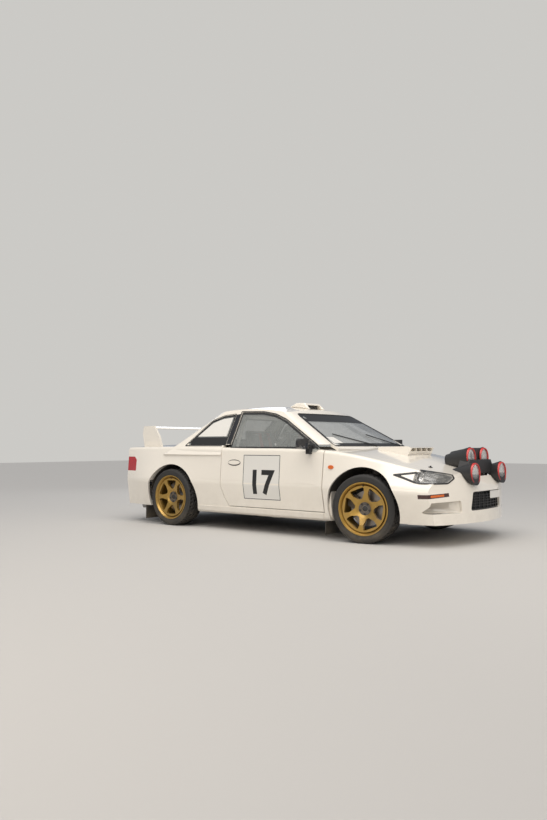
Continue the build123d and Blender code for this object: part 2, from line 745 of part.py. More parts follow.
def make_rim(angle):
    rim = turned(RIM) + turned(SPOKES)
    pockets = []
    for step in range(SPOKE_COUNT):
        middle = math.radians(angle + 30 + step * 360 / SPOKE_COUNT)
        corners = [(r * math.cos(middle + math.radians(a)), r * math.sin(middle + math.radians(a))) for r, a in POCKET]
        pockets.append(side_prism(corners, 0, 130, 12))
    return rim - pockets


def make_disc():
    rotor = across(0, 0, DISC_R, DISC_Y[0] - WHEEL_Y, DISC_Y[1] - WHEEL_Y)
    hat = across(0, 0, HAT_R, DISC_Y[1] - WHEEL_Y - 2, 20 - FIT)
    hub = across(0, 0, 38, KNUCKLE_Y[1] + FIT - WHEEL_Y, 44)
    spigot = across(0, 0, HUB_BORE_R - FIT, 20 - FIT, 56)
    return rotor + hat + (hub & block(-99, 99, -200, 20 - FIT, -99, 99)) + spigot


def caliper(axle_x, angle):
    """A caliper astride the disc, at an angle round the axle."""
    radial = Vector(math.cos(math.radians(angle)), 0, math.sin(math.radians(angle)))
    frame = Plane(origin=Vector(axle_x, 0, TYRE_R) + radial * 148, x_dir=(0, 1, 0), z_dir=radial)
    y0 = DISC_Y[0] - 22
    y1 = DISC_Y[1] + 16
    outer = frame * (Pos((y0 + y1) / 2, 0, 6) * Box(y1 - y0, 130, 84))
    slot = across(axle_x, TYRE_R, DISC_R + 5, DISC_Y[0] - 5, DISC_Y[1] + 5)
    ring = across(axle_x, TYRE_R, 196, y0 - 1, y1 + 1) - across(axle_x, TYRE_R, HAT_R + 12, y0 - 1, y1 + 1)
    return (outer & ring) - slot


def make_front_knuckle():
    x = FRONT_AXLE_X
    y0, y1 = KNUCKLE_Y
    upright = side_prism([(x - 40, 196), (x + 40, 196), (x + 52, 318), (x + 34, 452), (x - 34, 452), (x - 52, 318)], y0, y1)
    arm = block(x - 128, x - 20, y0, y1 - 8, RACK_Z - 10, RACK_Z + 10)
    carrier = caliper(x, CALIPER_ANGLE)
    lug = block(x - 150, x - 30, y0, y1, 340, 400)
    return upright + [arm, lug, carrier]


def make_rear_upright():
    x = REAR_AXLE_X
    y0, y1 = KNUCKLE_Y
    upright = side_prism([(x - 40, 200), (x + 40, 200), (x + 50, 318), (x + 30, 440), (x - 30, 440), (x - 50, 318)], y0, y1)
    lug = block(x + 30, x + 150, y0, y1, 340, 400)
    return upright + [lug, caliper(x, 180 - CALIPER_ANGLE)]


# Suspension. The ball joints of the front knuckles are on the steering axis

def make_front_suspension():
    x = FRONT_AXLE_X
    strut_top = FRONT_ARCH_Z + math.sqrt(ARCH_R ** 2 - SPRING_R ** 2) - FIT
    foot = block(x - 22, x + 22, STRUT_Y - 24, KINGPIN_Y + 16, 452 + FIT, 474)
    strut = rod((x, STRUT_Y, 462), (x, STRUT_Y, strut_top), STRUT_R) + rod((x, STRUT_Y, 560), (x, STRUT_Y, strut_top), SPRING_R)
    ball = rod((x, KINGPIN_Y, 176), (x, KINGPIN_Y, 196 - FIT), 16)
    arm = plan_prism([(x - 16, KINGPIN_Y + 14), (x + 16, KINGPIN_Y + 14), (x + 150, 330), (x + 90, 330), (x, 560),
                      (x - 90, 330), (x - 150, 330)], 166, 182)
    cross = block(RACK_X - 20, x + 185, -330, 330, 160, 200)
    rack = rod((RACK_X, -340, RACK_Z), (RACK_X, 340, RACK_Z), 20) + rod((RACK_X, -468, RACK_Z), (RACK_X, 468, RACK_Z), 9)
    clamp = block(RACK_X - 14, RACK_X + 14, 270, 310, 190, RACK_Z)
    hanger = block(x + 155, x + 185, 320, 420, 160, 200) + block(x + 155, x + 185, 352, 420, 160, RAIL_Z[0] - FIT)
    return cross + [rack, *both_prisms(foot + strut), *both_prisms(arm + ball), *both_prisms(clamp), *both_prisms(hanger)]


def make_rear_suspension():
    """Links from a cross member to the uprights, and struts up to the wheel wells."""
    x = REAR_AXLE_X
    tip = KNUCKLE_Y[0] - FIT
    strut_top = REAR_ARCH_Z + math.sqrt(ARCH_R ** 2 - STRUT_R ** 2) - FIT
    frame = block(x - 110, x + 110, -300, 300, 216, 262) - block(x - 140, x + 140, -145, 145, 200, 300)
    pieces = []
    for dx in (-70, 70):
        link = rod((x + dx / 2, tip - 1.4, 232), (x + dx, 296, 232), LINK_R)
        pieces += both_prisms(link)
    top_link = rod((x, tip, 425), (x, STRUT_Y, 425), LINK_R)
    strut = rod((x, STRUT_Y, 408), (x, STRUT_Y, strut_top), STRUT_R)
    pieces += both_prisms(top_link + strut)
    hanger = block(x + 60, x + 100, 250, 290, 255, BOOT_FLOOR_Z - FIT)
    pieces += both_prisms(hanger)
    return frame + pieces


# Engine, driveline and exhaust

GEARBOX_REAR_X = 700
EXHAUST_R = 27

def make_engine():
    return block(1400, 1880, -345, 345, 300, 640)


def make_driveline():
    """Gearbox behind the engine, propeller shaft, rear axle case and the four half shafts."""
    gearbox = rod((1400, 0, 330), (1120, 0, 330), 118) + rod((1120, 0, 300), (GEARBOX_REAR_X, 0, 300), 64)
    prop = rod((GEARBOX_REAR_X + 20, 0, 290), (-1100, 0, 290), 34)
    rear = block(-1350, -1080, -120, 120, 225, 405)
    reach = KNUCKLE_Y[0] - FIT
    shafts = [rod((FRONT_AXLE_X, -648, TYRE_R), (FRONT_AXLE_X, 648, TYRE_R), 15)]
    shafts += [rod((REAR_AXLE_X, -reach, TYRE_R), (REAR_AXLE_X, reach, TYRE_R), 15)]
    return gearbox + [prop, rear, *shafts]


def make_exhaust():
    """The pipe along the tunnel and under the rear cross member, silencer and tail pipe."""
    path = ((GEARBOX_REAR_X - FIT, -50, 240), (-960, -50, 240), (-1090, -200, 176), (-1430, -200, 176), (-1580, -340, 226))
    silencer = rod((-1520, -340, 240), (-1900, -400, 240), 85)
    tail = rod((-1860, -410, 196), (-2140, -440, 158), 30)
    return tube(path, EXHAUST_R).fuse(silencer, tail)


# Floor, firewall, boot floor and rails, inside the walls

FIREWALL_X = 905
BULKHEAD_X = -950
BOOT_FLOOR_Z = 430
SHEET = 14
TUNNEL_HALF = 128
TUNNEL_Z = 402
RAIL_Y = (352, 425)
RAIL_Z = (392, 470)
LINER = 5
WELL_Y = 455
REAR_WELL_Y = 500
SILL_FLANGE_Z = FLOOR_Z + SKIN


def make_floor_pan():
    low = SILL_FLANGE_Z + FIT
    floor = block(BULKHEAD_X, FIREWALL_X, -FLANGE_Y - 28, FLANGE_Y + 28, low, low + SHEET)
    floor += block(FIREWALL_X - SHEET, FIREWALL_X, -900, 900, low, 1000)
    floor += block(BULKHEAD_X, BULKHEAD_X + SHEET, -900, 900, low, BOOT_FLOOR_Z + SHEET)
    floor += block(-2060, BULKHEAD_X, -900, 900, BOOT_FLOOR_Z, BOOT_FLOOR_Z + SHEET)
    floor += block(BULKHEAD_X, FIREWALL_X, -TUNNEL_HALF, TUNNEL_HALF, low, TUNNEL_Z)
    floor -= block(BULKHEAD_X - 1, FIREWALL_X + 1, SHEET - TUNNEL_HALF, TUNNEL_HALF - SHEET, 0, TUNNEL_Z - SHEET)
    floor &= inside_wall
    for y in (RAIL_Y, (-RAIL_Y[1], -RAIL_Y[0])):
        floor += block(FIREWALL_X - 4, 2060, y[0], y[1], *RAIL_Z)
    rear_well = across(REAR_AXLE_X, REAR_ARCH_Z, ARCH_R + LINER + FIT, REAR_WELL_Y - LINER - FIT, 1000)
    front_well = across(FRONT_AXLE_X, FRONT_ARCH_Z, ARCH_R + LINER + FIT, WELL_Y - LINER - FIT, 1000)
    post_room = block(FENDER_REAR_X - FIT, FENDER_REAR_X + POST_DEPTH + FIT, 660 - FIT, 900, 0, 1000)
    for tool in (rear_well, front_well, post_room):
        floor = carved(floor, both_prisms(tool))
    return largest(floor)


def make_wheel_liners():
    liners = []
    wells = ((FRONT_AXLE_X, FRONT_ARCH_Z, WELL_Y, inside_skin), (REAR_AXLE_X, REAR_ARCH_Z, REAR_WELL_Y, inside_wall))
    for x, z, y0, hull in wells:
        outer = across(x, z, ARCH_R + LINER, y0 - LINER, 1000)
        liner = (outer - across(x, z, ARCH_R, y0, 1001)) & block(x - 500, x + 500, 300, 1000, z - 60, 1000)
        window = block(x - 200, x + 175, y0 - 20, y0 + 20, 0, 480)
        post_room = block(FENDER_REAR_X - FIT, FENDER_REAR_X + POST_DEPTH + FIT, 660 - FIT, POST_OUTER_Y + FIT, 0, 1000)
        liners += both_prisms(largest(carved(liner & hull, [window, post_room])))
    return liners


def make_mudflaps():
    flaps = []
    for x, top in ((FRONT_AXLE_X - ARCH_R + 14, FLOOR_Z + 10 - FIT), (REAR_AXLE_X - ARCH_R + 6, BUMPER_LOW_Z - FIT)):
        flaps += both_prisms(block(x - 6, x, 640, 872, 58, top))
    return flaps


# Cabin: cage, seats, dashboard and steering wheel. The driver sits on the left

CAGE_R = 19
CAGE_CROSS_R = 18
HOOP_X = -420
WELD = 1.5
SEAT_Y = 365
SEAT_HALF = 215
WHEEL_CENTRE = (330, SEAT_Y, 765)
WHEEL_RAKE = 24
STEERING_RATIO = 12
HUB_LENGTH = 40
COLUMN_R = 22


def tube_runs(points, radius):
    """The straight runs of a bent tube, and a ball at each of its inner points."""
    runs = [rod(a, b, radius) for a, b in zip(points, points[1:])]
    balls = [Pos(*point) * Sphere(radius + WELD) for point in points[1:-1]]
    return runs + balls


def tube(points, radius):
    first, *rest = tube_runs(points, radius)
    return first.fuse(*rest)


def make_roll_cage():
    """Main hoop, front legs along the roof and pillars, door bars, stays and a diagonal."""
    floor = SILL_FLANGE_Z + FIT + SHEET + FIT
    top = (HOOP_X, 500, 1222)
    far_top = (HOOP_X, -500, 1222)
    bend = (HOOP_X, 640, 860)
    corner = (195, 478, 1172)
    knee = (660, 640, 880)
    sides = (
        [(HOOP_X, 640, floor), bend, top, corner, knee, (690, 640, floor + 4)],
        [(HOOP_X + 5, 640, 300), (680, 640, 560)],
        [(HOOP_X + 5, 640, 620), (685, 640, 320)],
        [top, (-1120, 440, BOOT_FLOOR_Z + SHEET + CAGE_R)],
    )
    crossing = (
        [top, far_top],
        [corner, (195, -478, 1172)],
        [top, (HOOP_X, -640, 330)],
        [(HOOP_X, 640, 560), (HOOP_X, -640, 560)],
    )
    pieces = [Pos(*point) * Sphere(CAGE_R + WELD) for point in (top, far_top)]
    for points in crossing:
        pieces += tube_runs(points, CAGE_CROSS_R)
    for points in sides:
        for side in (1, -1):
            pieces += tube_runs([(x, side * y, z) for x, y, z in points], CAGE_R)
    return pieces[0].fuse(*pieces[1:])


def make_seats():
    """Two bucket seats: a shell with raised wings round the hollow, on a plinth on the floor."""
    y0 = SEAT_Y - SEAT_HALF
    y1 = SEAT_Y + SEAT_HALF
    side = [(130, 250), (165, 372), (120, 405), (-150, 372), (-235, 560), (-300, 1060), (-345, 1060), (-330, 560), (-250, 250)]
    wing_side = [(150, 360), (110, 450), (-110, 500), (-150, 700), (-210, 760), (-300, 700), (-230, 370)]
    seat = side_prism(side, y0, y1, 18)
    wings = side_prism(wing_side, y0, y1, 20) - block(-205, 400, y0 + 45, y1 - 45, 400, 900)
    plinth = block(-220, 110, y0 + 40, y1 - 40, SILL_FLANGE_Z + FIT + SHEET + FIT, 262)
    return both_prisms(seat + wings + plinth)


def make_dashboard():
    back = FIREWALL_X - SHEET - FIT
    side = [(606, 700), (590, 812), (622, 852), (back, 862), (back, 760), (700, 690)]
    return side_prism(side, -600, 600, 16) & inside_wall


def make_steering_wheel():
    x, y, z = WHEEL_CENTRE
    rake = math.radians(WHEEL_RAKE)
    axle = Vector(math.cos(rake), 0, -math.sin(rake))
    frame = Plane(origin=(x, y, z), x_dir=(0, 1, 0), z_dir=axle)
    ring = frame * Torus(160, 14)
    hub = Solid.make_cylinder(34, HUB_LENGTH, frame)
    spokes = []
    for angle in (0, 90, 180):
        spokes.append(frame * (Rot(0, 0, angle - 180 + STEER_AT_REST * STEERING_RATIO) * (Pos(85, 0, 8) * Box(150, 26, 8))))
    return ring + [hub, *spokes]


def make_column():
    """The column, from the steering wheel's hub down to the firewall."""
    rake = math.radians(WHEEL_RAKE)
    x, y, z = WHEEL_CENTRE
    start = HUB_LENGTH + FIT
    end = (FIREWALL_X - SHEET - FIT - COLUMN_R * math.sin(rake) - x) / math.cos(rake)
    a, b = ((x + run * math.cos(rake), y, z - run * math.sin(rake)) for run in (start, end))
    return rod(a, b, COLUMN_R)


# Grille in the bumper's mouth, and the wipers

GRILLE_DEPTH = 12

def make_grille():
    """A frame with bars and posts, curved to lie behind the bumper's mouth."""
    behind = (nose_and_tail(SKIN + FIT) & end_profile(SKIN + FIT)) - nose_and_tail(SKIN + FIT + GRILLE_DEPTH)
    outer = paired(((372, 296), (340, 500)))
    face = front_prism(outer, 1950, NOSE_X) - front_prism(paired(((322, 322), (290, 472))), 1940, NOSE_X + 10)
    for z in range(345, 465, 24):
        face += block(1950, NOSE_X, -330, 330, z, z + 7)
    for y in range(-240, 241, 80):
        face += block(1950, NOSE_X, y - 4, y + 4, 305, 490)
    return face & behind


def screen_point(y, z, above):
    """A point on the windscreen, a little way out along its normal."""
    z0, front0, _, half0, bow0, _, _ = CABIN_LOW
    z1, front1, _, half1, bow1, _, _ = CABIN_HIGH
    t = (z - z0) / (z1 - z0)
    front = front0 + t * (front1 - front0)
    half = half0 + t * (half1 - half0)
    bow = bow0 + t * (bow1 - bow0)
    return (front + bow * (1 - (y / half) ** 2) + above * 0.5, y, z + above * 0.87)


def make_wipers():
    wipers = []
    for y in (-80, 480):
        pivot = screen_point(y, 893, 10)
        tip = screen_point(y - 420, 1010, 9)
        spindle = rod(pivot, screen_point(y, 893, 2 * FIT), 9)
        wipers.append(rod(pivot, tip, 5) + spindle)
    return wipers


def place_wheel(shape, axle_x, side, steered):
    """A part of a wheel, built about its middle with its face toward +Y, put on the car."""
    wheel = Pos(axle_x, WHEEL_Y, TYRE_R) * shape
    if side < 0:
        wheel = mirrored(wheel)
    return steer(wheel, side) if steered else wheel


def steer(shape, side):
    axis = Axis((FRONT_AXLE_X, side * KINGPIN_Y, 0), (0, 0, 1))
    return shape.rotate(axis, STEER_AT_REST)


WHEELS = (
    ("front_left", FRONT_AXLE_X, 1, True, 21),
    ("front_right", FRONT_AXLE_X, -1, True, 21),
    ("rear_left", REAR_AXLE_X, 1, False, 0),
    ("rear_right", REAR_AXLE_X, -1, False, 0),
)


if __name__ == "__main__":
    add("body_shell", make_body_shell())
    add("hinge_arms", make_hinge_arms())
    add("floor_pan", make_floor_pan())
    add("wheel_liners", make_wheel_liners())
    add("front_fenders", both_prisms(make_front_fender()))
    add("front_bumper", make_front_bumper())
    add("rear_bumper", make_rear_bumper())
    add("bonnet", make_bonnet())
    add("bonnet_scoop", make_scoop())
    add("boot_lid", make_boot_lid())
    add("rear_wing", make_wing())
    door = make_door()
    glass = make_door_glass()
    mirror = make_mirror()
    for name, shape in (("door", door), ("door_glass", [glass]), ("mirror", [mirror])):
        add(name + "_left", shape)
        add(name + "_right", [mirrored(piece) for piece in shape])
    add("quarter_glasses", both_prisms(make_quarter_glass()))
    add("windscreen", make_screen(WINDSCREEN, 150, 1300))
    add("rear_window", make_screen(REAR_WINDOW, -1600, -520))
    add("roof_vent", make_roof_vent())
    add("headlamps", both_prisms(make_headlamp()))
    add("indicators", both_prisms(make_indicator()))
    add("tail_lamps", both_prisms(make_tail_lamp()))
    add("lamp_pods", make_pods())
    add("pod_lamps", make_pod_lamps())
    add("grille", make_grille())
    add("mudflaps", make_mudflaps())
    add("wipers", make_wipers())
    add("roll_cage", make_roll_cage())
    add("seats", make_seats())
    add("dashboard", make_dashboard())
    add("steering_wheel", make_steering_wheel())
    add("steering_column", make_column())
    add("engine_block", make_engine())
    add("driveline", make_driveline())
    add("exhaust", make_exhaust())
    add("front_suspension", make_front_suspension())
    add("rear_suspension", make_rear_suspension())
    add("rear_uprights", both_prisms(make_rear_upright()))
    knuckle = make_front_knuckle()
    add("knuckle_left", steer(knuckle, 1))
    add("knuckle_right", steer(mirrored(knuckle), -1))
    for name, axle_x, side, steered, angle in WHEELS:
        add("rim_" + name, place_wheel(make_rim(angle), axle_x, side, steered))
        add("tyre_" + name, place_wheel(turned(TYRE), axle_x, side, steered))
        add("disc_" + name, place_wheel(make_disc(), axle_x, side, steered))
    for name, shape in nodes.items():
        export_step(shape, "parts/" + name + ".step")
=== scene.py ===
import math
import bpy
from mathutils import Matrix, Vector
from mathutils.bvhtree import BVHTree


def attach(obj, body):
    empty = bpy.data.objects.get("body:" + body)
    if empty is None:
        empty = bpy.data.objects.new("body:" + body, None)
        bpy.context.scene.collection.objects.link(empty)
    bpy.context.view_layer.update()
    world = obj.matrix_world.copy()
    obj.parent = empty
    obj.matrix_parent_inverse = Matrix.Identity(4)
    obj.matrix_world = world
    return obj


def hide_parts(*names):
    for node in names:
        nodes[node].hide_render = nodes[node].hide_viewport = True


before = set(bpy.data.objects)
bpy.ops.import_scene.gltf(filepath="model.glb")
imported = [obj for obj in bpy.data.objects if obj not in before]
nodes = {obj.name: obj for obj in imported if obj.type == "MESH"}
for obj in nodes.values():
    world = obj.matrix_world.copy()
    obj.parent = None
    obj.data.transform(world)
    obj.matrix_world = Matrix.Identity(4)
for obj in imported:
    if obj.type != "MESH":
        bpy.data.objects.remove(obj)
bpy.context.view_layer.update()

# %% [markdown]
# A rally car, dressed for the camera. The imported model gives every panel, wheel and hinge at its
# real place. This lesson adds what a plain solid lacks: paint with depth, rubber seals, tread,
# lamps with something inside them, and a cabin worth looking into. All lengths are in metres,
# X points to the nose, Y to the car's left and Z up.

SIDES = (("left", 1), ("right", -1))


def short(vector):
    return tuple(round(v, 3) for v in vector)


# %% [markdown]
# The camera stands low on the car's right, ahead of the front wheel, as the photograph does. Its
# place and lens were found from the four wheel outlines, so the wheels land where they should.
# The lens is given over the long side of the frame, which is the height here.

# %% Camera
EYE = Vector((4.900, -6.650, 0.900))
YAW = math.radians(-38.65)
PITCH = math.radians(2.78)
look = Vector((math.sin(YAW) * math.cos(PITCH), math.cos(YAW) * math.cos(PITCH), math.sin(PITCH)))
bpy.ops.object.camera_add(location=EYE, rotation=look.to_track_quat("-Z", "Y").to_euler())
camera = bpy.context.object
camera.data.sensor_fit = "VERTICAL"
camera.data.sensor_height = 36.0
camera.data.lens = 32.2
camera.data.clip_end = 200
bpy.context.scene.camera = camera
bpy.context.scene.view_settings.view_transform = "Standard"
print("camera", short(camera.location))

# %% [markdown]
# A white car on a pale floor disappears unless the light has a direction. One large soft lamp
# hangs over the car, a warmer one fills the near side, a third lifts the nose, and a cool one
# behind draws the roof's edge. A weak and very wide sun stands for the sky.

# %% Lamps
def area_lamp(name, place, target, size, power, colour):
    bpy.ops.object.light_add(type="AREA", location=place)
    lamp = bpy.context.object
    lamp.name = name
    lamp.data.shape = "RECTANGLE"
    lamp.data.size, lamp.data.size_y = size
    lamp.data.energy = power
    lamp.data.color = colour
    lamp.rotation_euler = (Vector(target) - Vector(place)).to_track_quat("-Z", "Y").to_euler()


area_lamp("overhead", (1.0, -1.5, 5.2), (0, 0, 0.5), (6.5, 4.0), 95, (1.0, 0.95, 0.88))
area_lamp("near_side", (1.5, -7.5, 2.6), (0.2, 0, 0.6), (5.0, 2.2), 90, (1.0, 0.90, 0.78))
area_lamp("nose_fill", (7.0, -1.0, 2.4), (2.0, 0, 0.6), (2.5, 2.5), 60, (1.0, 0.93, 0.85))
area_lamp("back_rim", (-5.5, 4.5, 3.4), (-0.5, 0, 1.0), (3.0, 2.0), 34, (0.92, 0.95, 1.0))
bpy.ops.object.light_add(type="SUN", location=(0, 0, 8), rotation=(math.radians(24), math.radians(14), 0))
sky = bpy.context.object
sky.name = "even_sky"
sky.data.energy = 2.0
sky.data.angle = math.radians(70)
sky.data.color = (1.0, 0.95, 0.89)

# %% [markdown]
# A shader is a graph of nodes. These helpers add a node, set its inputs by name, with an
# underscore for each space, and link an output to an input.

# %% Helpers for shaders
def set_inputs(shader, values):
    for label, value in values.items():
        shader.inputs[label.replace("_", " ")].default_value = value


def add(tree, kind, settings=None, **values):
    """Adds a node. How it works is set before its inputs, because that decides which ones it has."""
    made = tree.nodes.new("ShaderNode" + kind)
    for label, value in (settings or {}).items():
        setattr(made, label, value)
    set_inputs(made, values)
    return made


def wire(tree, *rows):
    """Links nodes. Each row is a node, its output, another node and its input."""
    for source, output, target, entry in rows:
        tree.links.new(source.outputs[output], target.inputs[entry])


def new_material(name, **values):
    """A material, its tree of nodes, and its shader with these inputs."""
    material = bpy.data.materials.new(name)
    material.use_nodes = True
    shader = material.node_tree.nodes["Principled BSDF"]
    set_inputs(shader, values)
    return material, material.node_tree, shader


print("shader helpers ready")

# %% [markdown]
# The floor is matt, with a roughness that wanders a little. The world lights the car only dimly,
# but the camera and whatever looks through glass see it as a pale wall.

# %% Floor and backdrop
stone, tree, shader = new_material("floor_pale", Base_Color=(0.52, 0.505, 0.48, 1), Specular_IOR_Level=0.2)
grain = add(tree, "TexNoise", Scale=3.0, Detail=6.0)
tone = add(tree, "MapRange", To_Min=0.80, To_Max=0.90)
wire(tree, (grain, "Fac", tone, "Value"), (tone, "Result", shader, "Roughness"))
bpy.ops.mesh.primitive_plane_add(size=60, location=(0, 0, 0))
floor = bpy.context.object
floor.name = "floor"
floor.data.materials.append(stone)

world = bpy.data.worlds.new("studio")
world.use_nodes = True
bpy.context.scene.world = world
tree = world.node_tree
tree.nodes.clear()
out = add(tree, "OutputWorld")
dim = add(tree, "Background", Color=(0.78, 0.84, 0.95, 1), Strength=0.38)
pale = add(tree, "Background", Color=(0.60, 0.59, 0.565, 1), Strength=1.0)
path = add(tree, "LightPath")
either = add(tree, "Math", {"operation": "MAXIMUM"})
mix = add(tree, "MixShader")
wire(tree, (path, "Is Camera Ray", either, 0), (path, "Is Transmission Ray", either, 1),
     (either, 0, mix, "Fac"), (dim, 0, mix, 1), (pale, 0, mix, 2), (mix, 0, out, "Surface"))
print("floor and world are in place")

# %% [markdown]
# Real finishes are never one number. Two small node groups are shared by all of them: one breaks
# a colour up into soft patches, the other gathers road dust low on the car. Both give only masks,
# so each finish stays a plain shader that an export can read.

# %% Shared groups
def new_group(name, **inputs):
    """A group that gives one mask, with a number for each named input."""
    group = bpy.data.node_groups.new(name, "ShaderNodeTree")
    for label, value in inputs.items():
        socket = group.interface.new_socket(label, in_out="INPUT", socket_type="NodeSocketFloat")
        socket.default_value = value
    group.interface.new_socket("Mask", in_out="OUTPUT", socket_type="NodeSocketFloat")
    return group, group.nodes.new("NodeGroupInput"), group.nodes.new("NodeGroupOutput")


def make_patches():
    """A mask from 0 to 1: broad soft patches with fine speckle in them."""
    group, inside, outside = new_group("soft_patches", Scale=4.0, Fine=60.0)
    place = add(group, "TexCoord")
    broad = add(group, "TexNoise", Detail=3.0)
    fine = add(group, "TexNoise", Detail=2.0)
    blend = add(group, "Mix", Factor=0.35)
    wire(group, (inside, "Scale", broad, "Scale"), (inside, "Fine", fine, "Scale"),
         (place, "Object", broad, "Vector"), (place, "Object", fine, "Vector"), (broad, "Fac", blend, "A"),
         (fine, "Fac", blend, "B"), (blend, "Result", outside, "Mask"))
    return group


def make_low_dust():
    """A mask that is strong near the road and fades upwards, broken up by noise."""
    group, inside, outside = new_group("low_dust", Height=0.55, Amount=1.0)
    place = add(group, "TexCoord")
    split = add(group, "SeparateXYZ")
    fade = add(group, "MapRange", From_Min=0.10, To_Min=1.0, To_Max=0.0)
    noise = add(group, "TexNoise", Scale=9.0, Detail=5.0, Roughness=0.65)
    lift = add(group, "MapRange", From_Min=0.35, From_Max=0.75)
    times = add(group, "Math", {"operation": "MULTIPLY"})
    scale = add(group, "Math", {"operation": "MULTIPLY"})
    wire(group, (place, "Object", split, "Vector"), (place, "Object", noise, "Vector"),
         (split, "Z", fade, "Value"), (inside, "Height", fade, "From Max"), (noise, "Fac", lift, "Value"),
         (fade, "Result", times, 0), (lift, "Result", times, 1), (times, 0, scale, 0),
         (inside, "Amount", scale, 1), (scale, 0, outside, "Mask"))
    return group


patches = make_patches()
low_dust = make_low_dust()
DUST = (0.30, 0.24, 0.16, 1)
print("groups", patches.name, low_dust.name)

# %% [markdown]
# Every finish is made by one function from a row of words and numbers: a base colour and a
# second tone for its patches, how rough it is, how far that wanders, the grain that stands out
# of it, and how much dust it holds. What is the same all over is set on the shader itself.

# %% Finishes
def finish(name, colour, second, rough, metal=0.0, coat=0.0, coat_rough=0.05, scale=4.0, fine=60.0,
           grain=0.0, grain_size=400.0, dust=0.0, dust_top=0.55, **extra):
    material, tree, shader = new_material(name, Metallic=metal, Coat_Weight=coat, Coat_Roughness=coat_rough,
                                          **extra)
    mask = add(tree, "Group", {"node_tree": patches}, Scale=scale, Fine=fine)
    tone = add(tree, "Mix", {"data_type": "RGBA"}, A=(*colour, 1), B=(*second, 1))
    roughness = add(tree, "MapRange", To_Min=rough[0], To_Max=rough[1])
    wire(tree, (mask, "Mask", tone, "Factor"), (mask, "Mask", roughness, "Value"),
         (roughness, "Result", shader, "Roughness"))
    if dust:
        dirt = add(tree, "Group", {"node_tree": low_dust}, Height=dust_top, Amount=dust)
        over = add(tree, "Mix", {"data_type": "RGBA"}, B=DUST)
        wire(tree, (dirt, "Mask", over, "Factor"), (tone, "Result", over, "A"))
        tone = over
    wire(tree, (tone, "Result", shader, "Base Color"))
    if grain:
        place = add(tree, "TexCoord")
        texture = add(tree, "TexNoise", Scale=grain_size, Detail=3.0)
        bump = add(tree, "Bump", Strength=grain, Distance=0.001)
        wire(tree, (place, "Object", texture, "Vector"), (texture, "Fac", bump, "Height"),
             (bump, "Normal", shader, "Normal"))
    return material


paint = finish("body_paint", (0.86, 0.81, 0.72), (0.83, 0.77, 0.67), (0.30, 0.38), coat=1.0, coat_rough=0.04,
               scale=1.6, fine=30.0, dust=0.22, dust_top=0.50)
gold = finish("wheel_gold", (0.50, 0.31, 0.065), (0.40, 0.235, 0.045), (0.30, 0.44), metal=0.75, coat=0.5,
              coat_rough=0.15, scale=12.0, fine=500.0, grain=0.12, grain_size=2500.0, dust=0.25)
black = finish("moulded_black", (0.016, 0.016, 0.017), (0.028, 0.027, 0.026), (0.42, 0.60), scale=9.0,
               grain=0.35, grain_size=900.0, dust=0.10)
gloss_black = finish("gloss_black", (0.010, 0.010, 0.011), (0.018, 0.017, 0.017), (0.10, 0.20), coat=0.8,
                     scale=5.0)
rubber = finish("seal_rubber", (0.013, 0.013, 0.013), (0.024, 0.023, 0.022), (0.55, 0.72), scale=14.0,
                grain=0.2, grain_size=1600.0)
tyre_rubber = finish("tyre_rubber", (0.020, 0.0195, 0.019), (0.036, 0.034, 0.031), (0.62, 0.85), scale=11.0,
                     fine=140.0, grain=0.5, grain_size=700.0, dust=0.28, dust_top=0.30)
flap_rubber = finish("flap_rubber", (0.020, 0.019, 0.018), (0.040, 0.035, 0.029), (0.60, 0.85), scale=7.0,
                     grain=0.5, grain_size=500.0, dust=0.35, dust_top=0.26)
steel = finish("bare_steel", (0.36, 0.35, 0.34), (0.25, 0.24, 0.23), (0.28, 0.48), metal=1.0, scale=18.0,
               fine=260.0, grain=0.15, grain_size=1200.0)
iron = finish("cast_iron", (0.10, 0.098, 0.095), (0.16, 0.13, 0.10), (0.55, 0.80), metal=0.6, scale=12.0,
              grain=0.7, grain_size=420.0, dust=0.3)
rusty = finish("hot_pipe", (0.20, 0.15, 0.11), (0.11, 0.07, 0.05), (0.45, 0.75), metal=0.8, scale=7.0,
               fine=90.0, grain=0.4, grain_size=600.0)
underseal = finish("underseal", (0.030, 0.029, 0.028), (0.055, 0.048, 0.040), (0.65, 0.90), scale=6.0,
                   grain=0.8, grain_size=260.0, dust=0.5, dust_top=0.8)
cage_paint = finish("cage_paint", (0.62, 0.60, 0.56), (0.55, 0.53, 0.49), (0.32, 0.45), scale=5.0, grain=0.08)
chrome = finish("reflector", (0.86, 0.85, 0.83), (0.78, 0.77, 0.75), (0.05, 0.12), metal=1.0, scale=8.0)
red_ring = finish("ring_red", (0.62, 0.030, 0.022), (0.50, 0.022, 0.018), (0.30, 0.42), coat=0.3, scale=12.0)
white_plate = finish("plain_white", (0.74, 0.72, 0.67), (0.70, 0.68, 0.63), (0.38, 0.50), scale=5.0)
ink = finish("flat_ink", (0.012, 0.012, 0.012), (0.020, 0.019, 0.018), (0.42, 0.52), scale=9.0)
suede = finish("dark_suede", (0.020, 0.020, 0.022), (0.034, 0.033, 0.034), (0.85, 0.95), scale=20.0,
               grain=0.7, grain_size=1500.0, Sheen_Weight=0.35)
belt_red = finish("belt_web", (0.30, 0.020, 0.018), (0.22, 0.014, 0.014), (0.65, 0.80), scale=60.0, grain=0.8,
                  grain_size=900.0)
print("finishes", len(bpy.data.materials))

# %% [markdown]
# Glass is thin here, so it is a clear coat over light let straight through, not a thick lens.
# A film of dust hides a little more of what is behind it, in soft patches. The windscreen is also
# misted from inside, so its film hides more and is rougher.

# %% Glass
DUST_FILM = 0.10


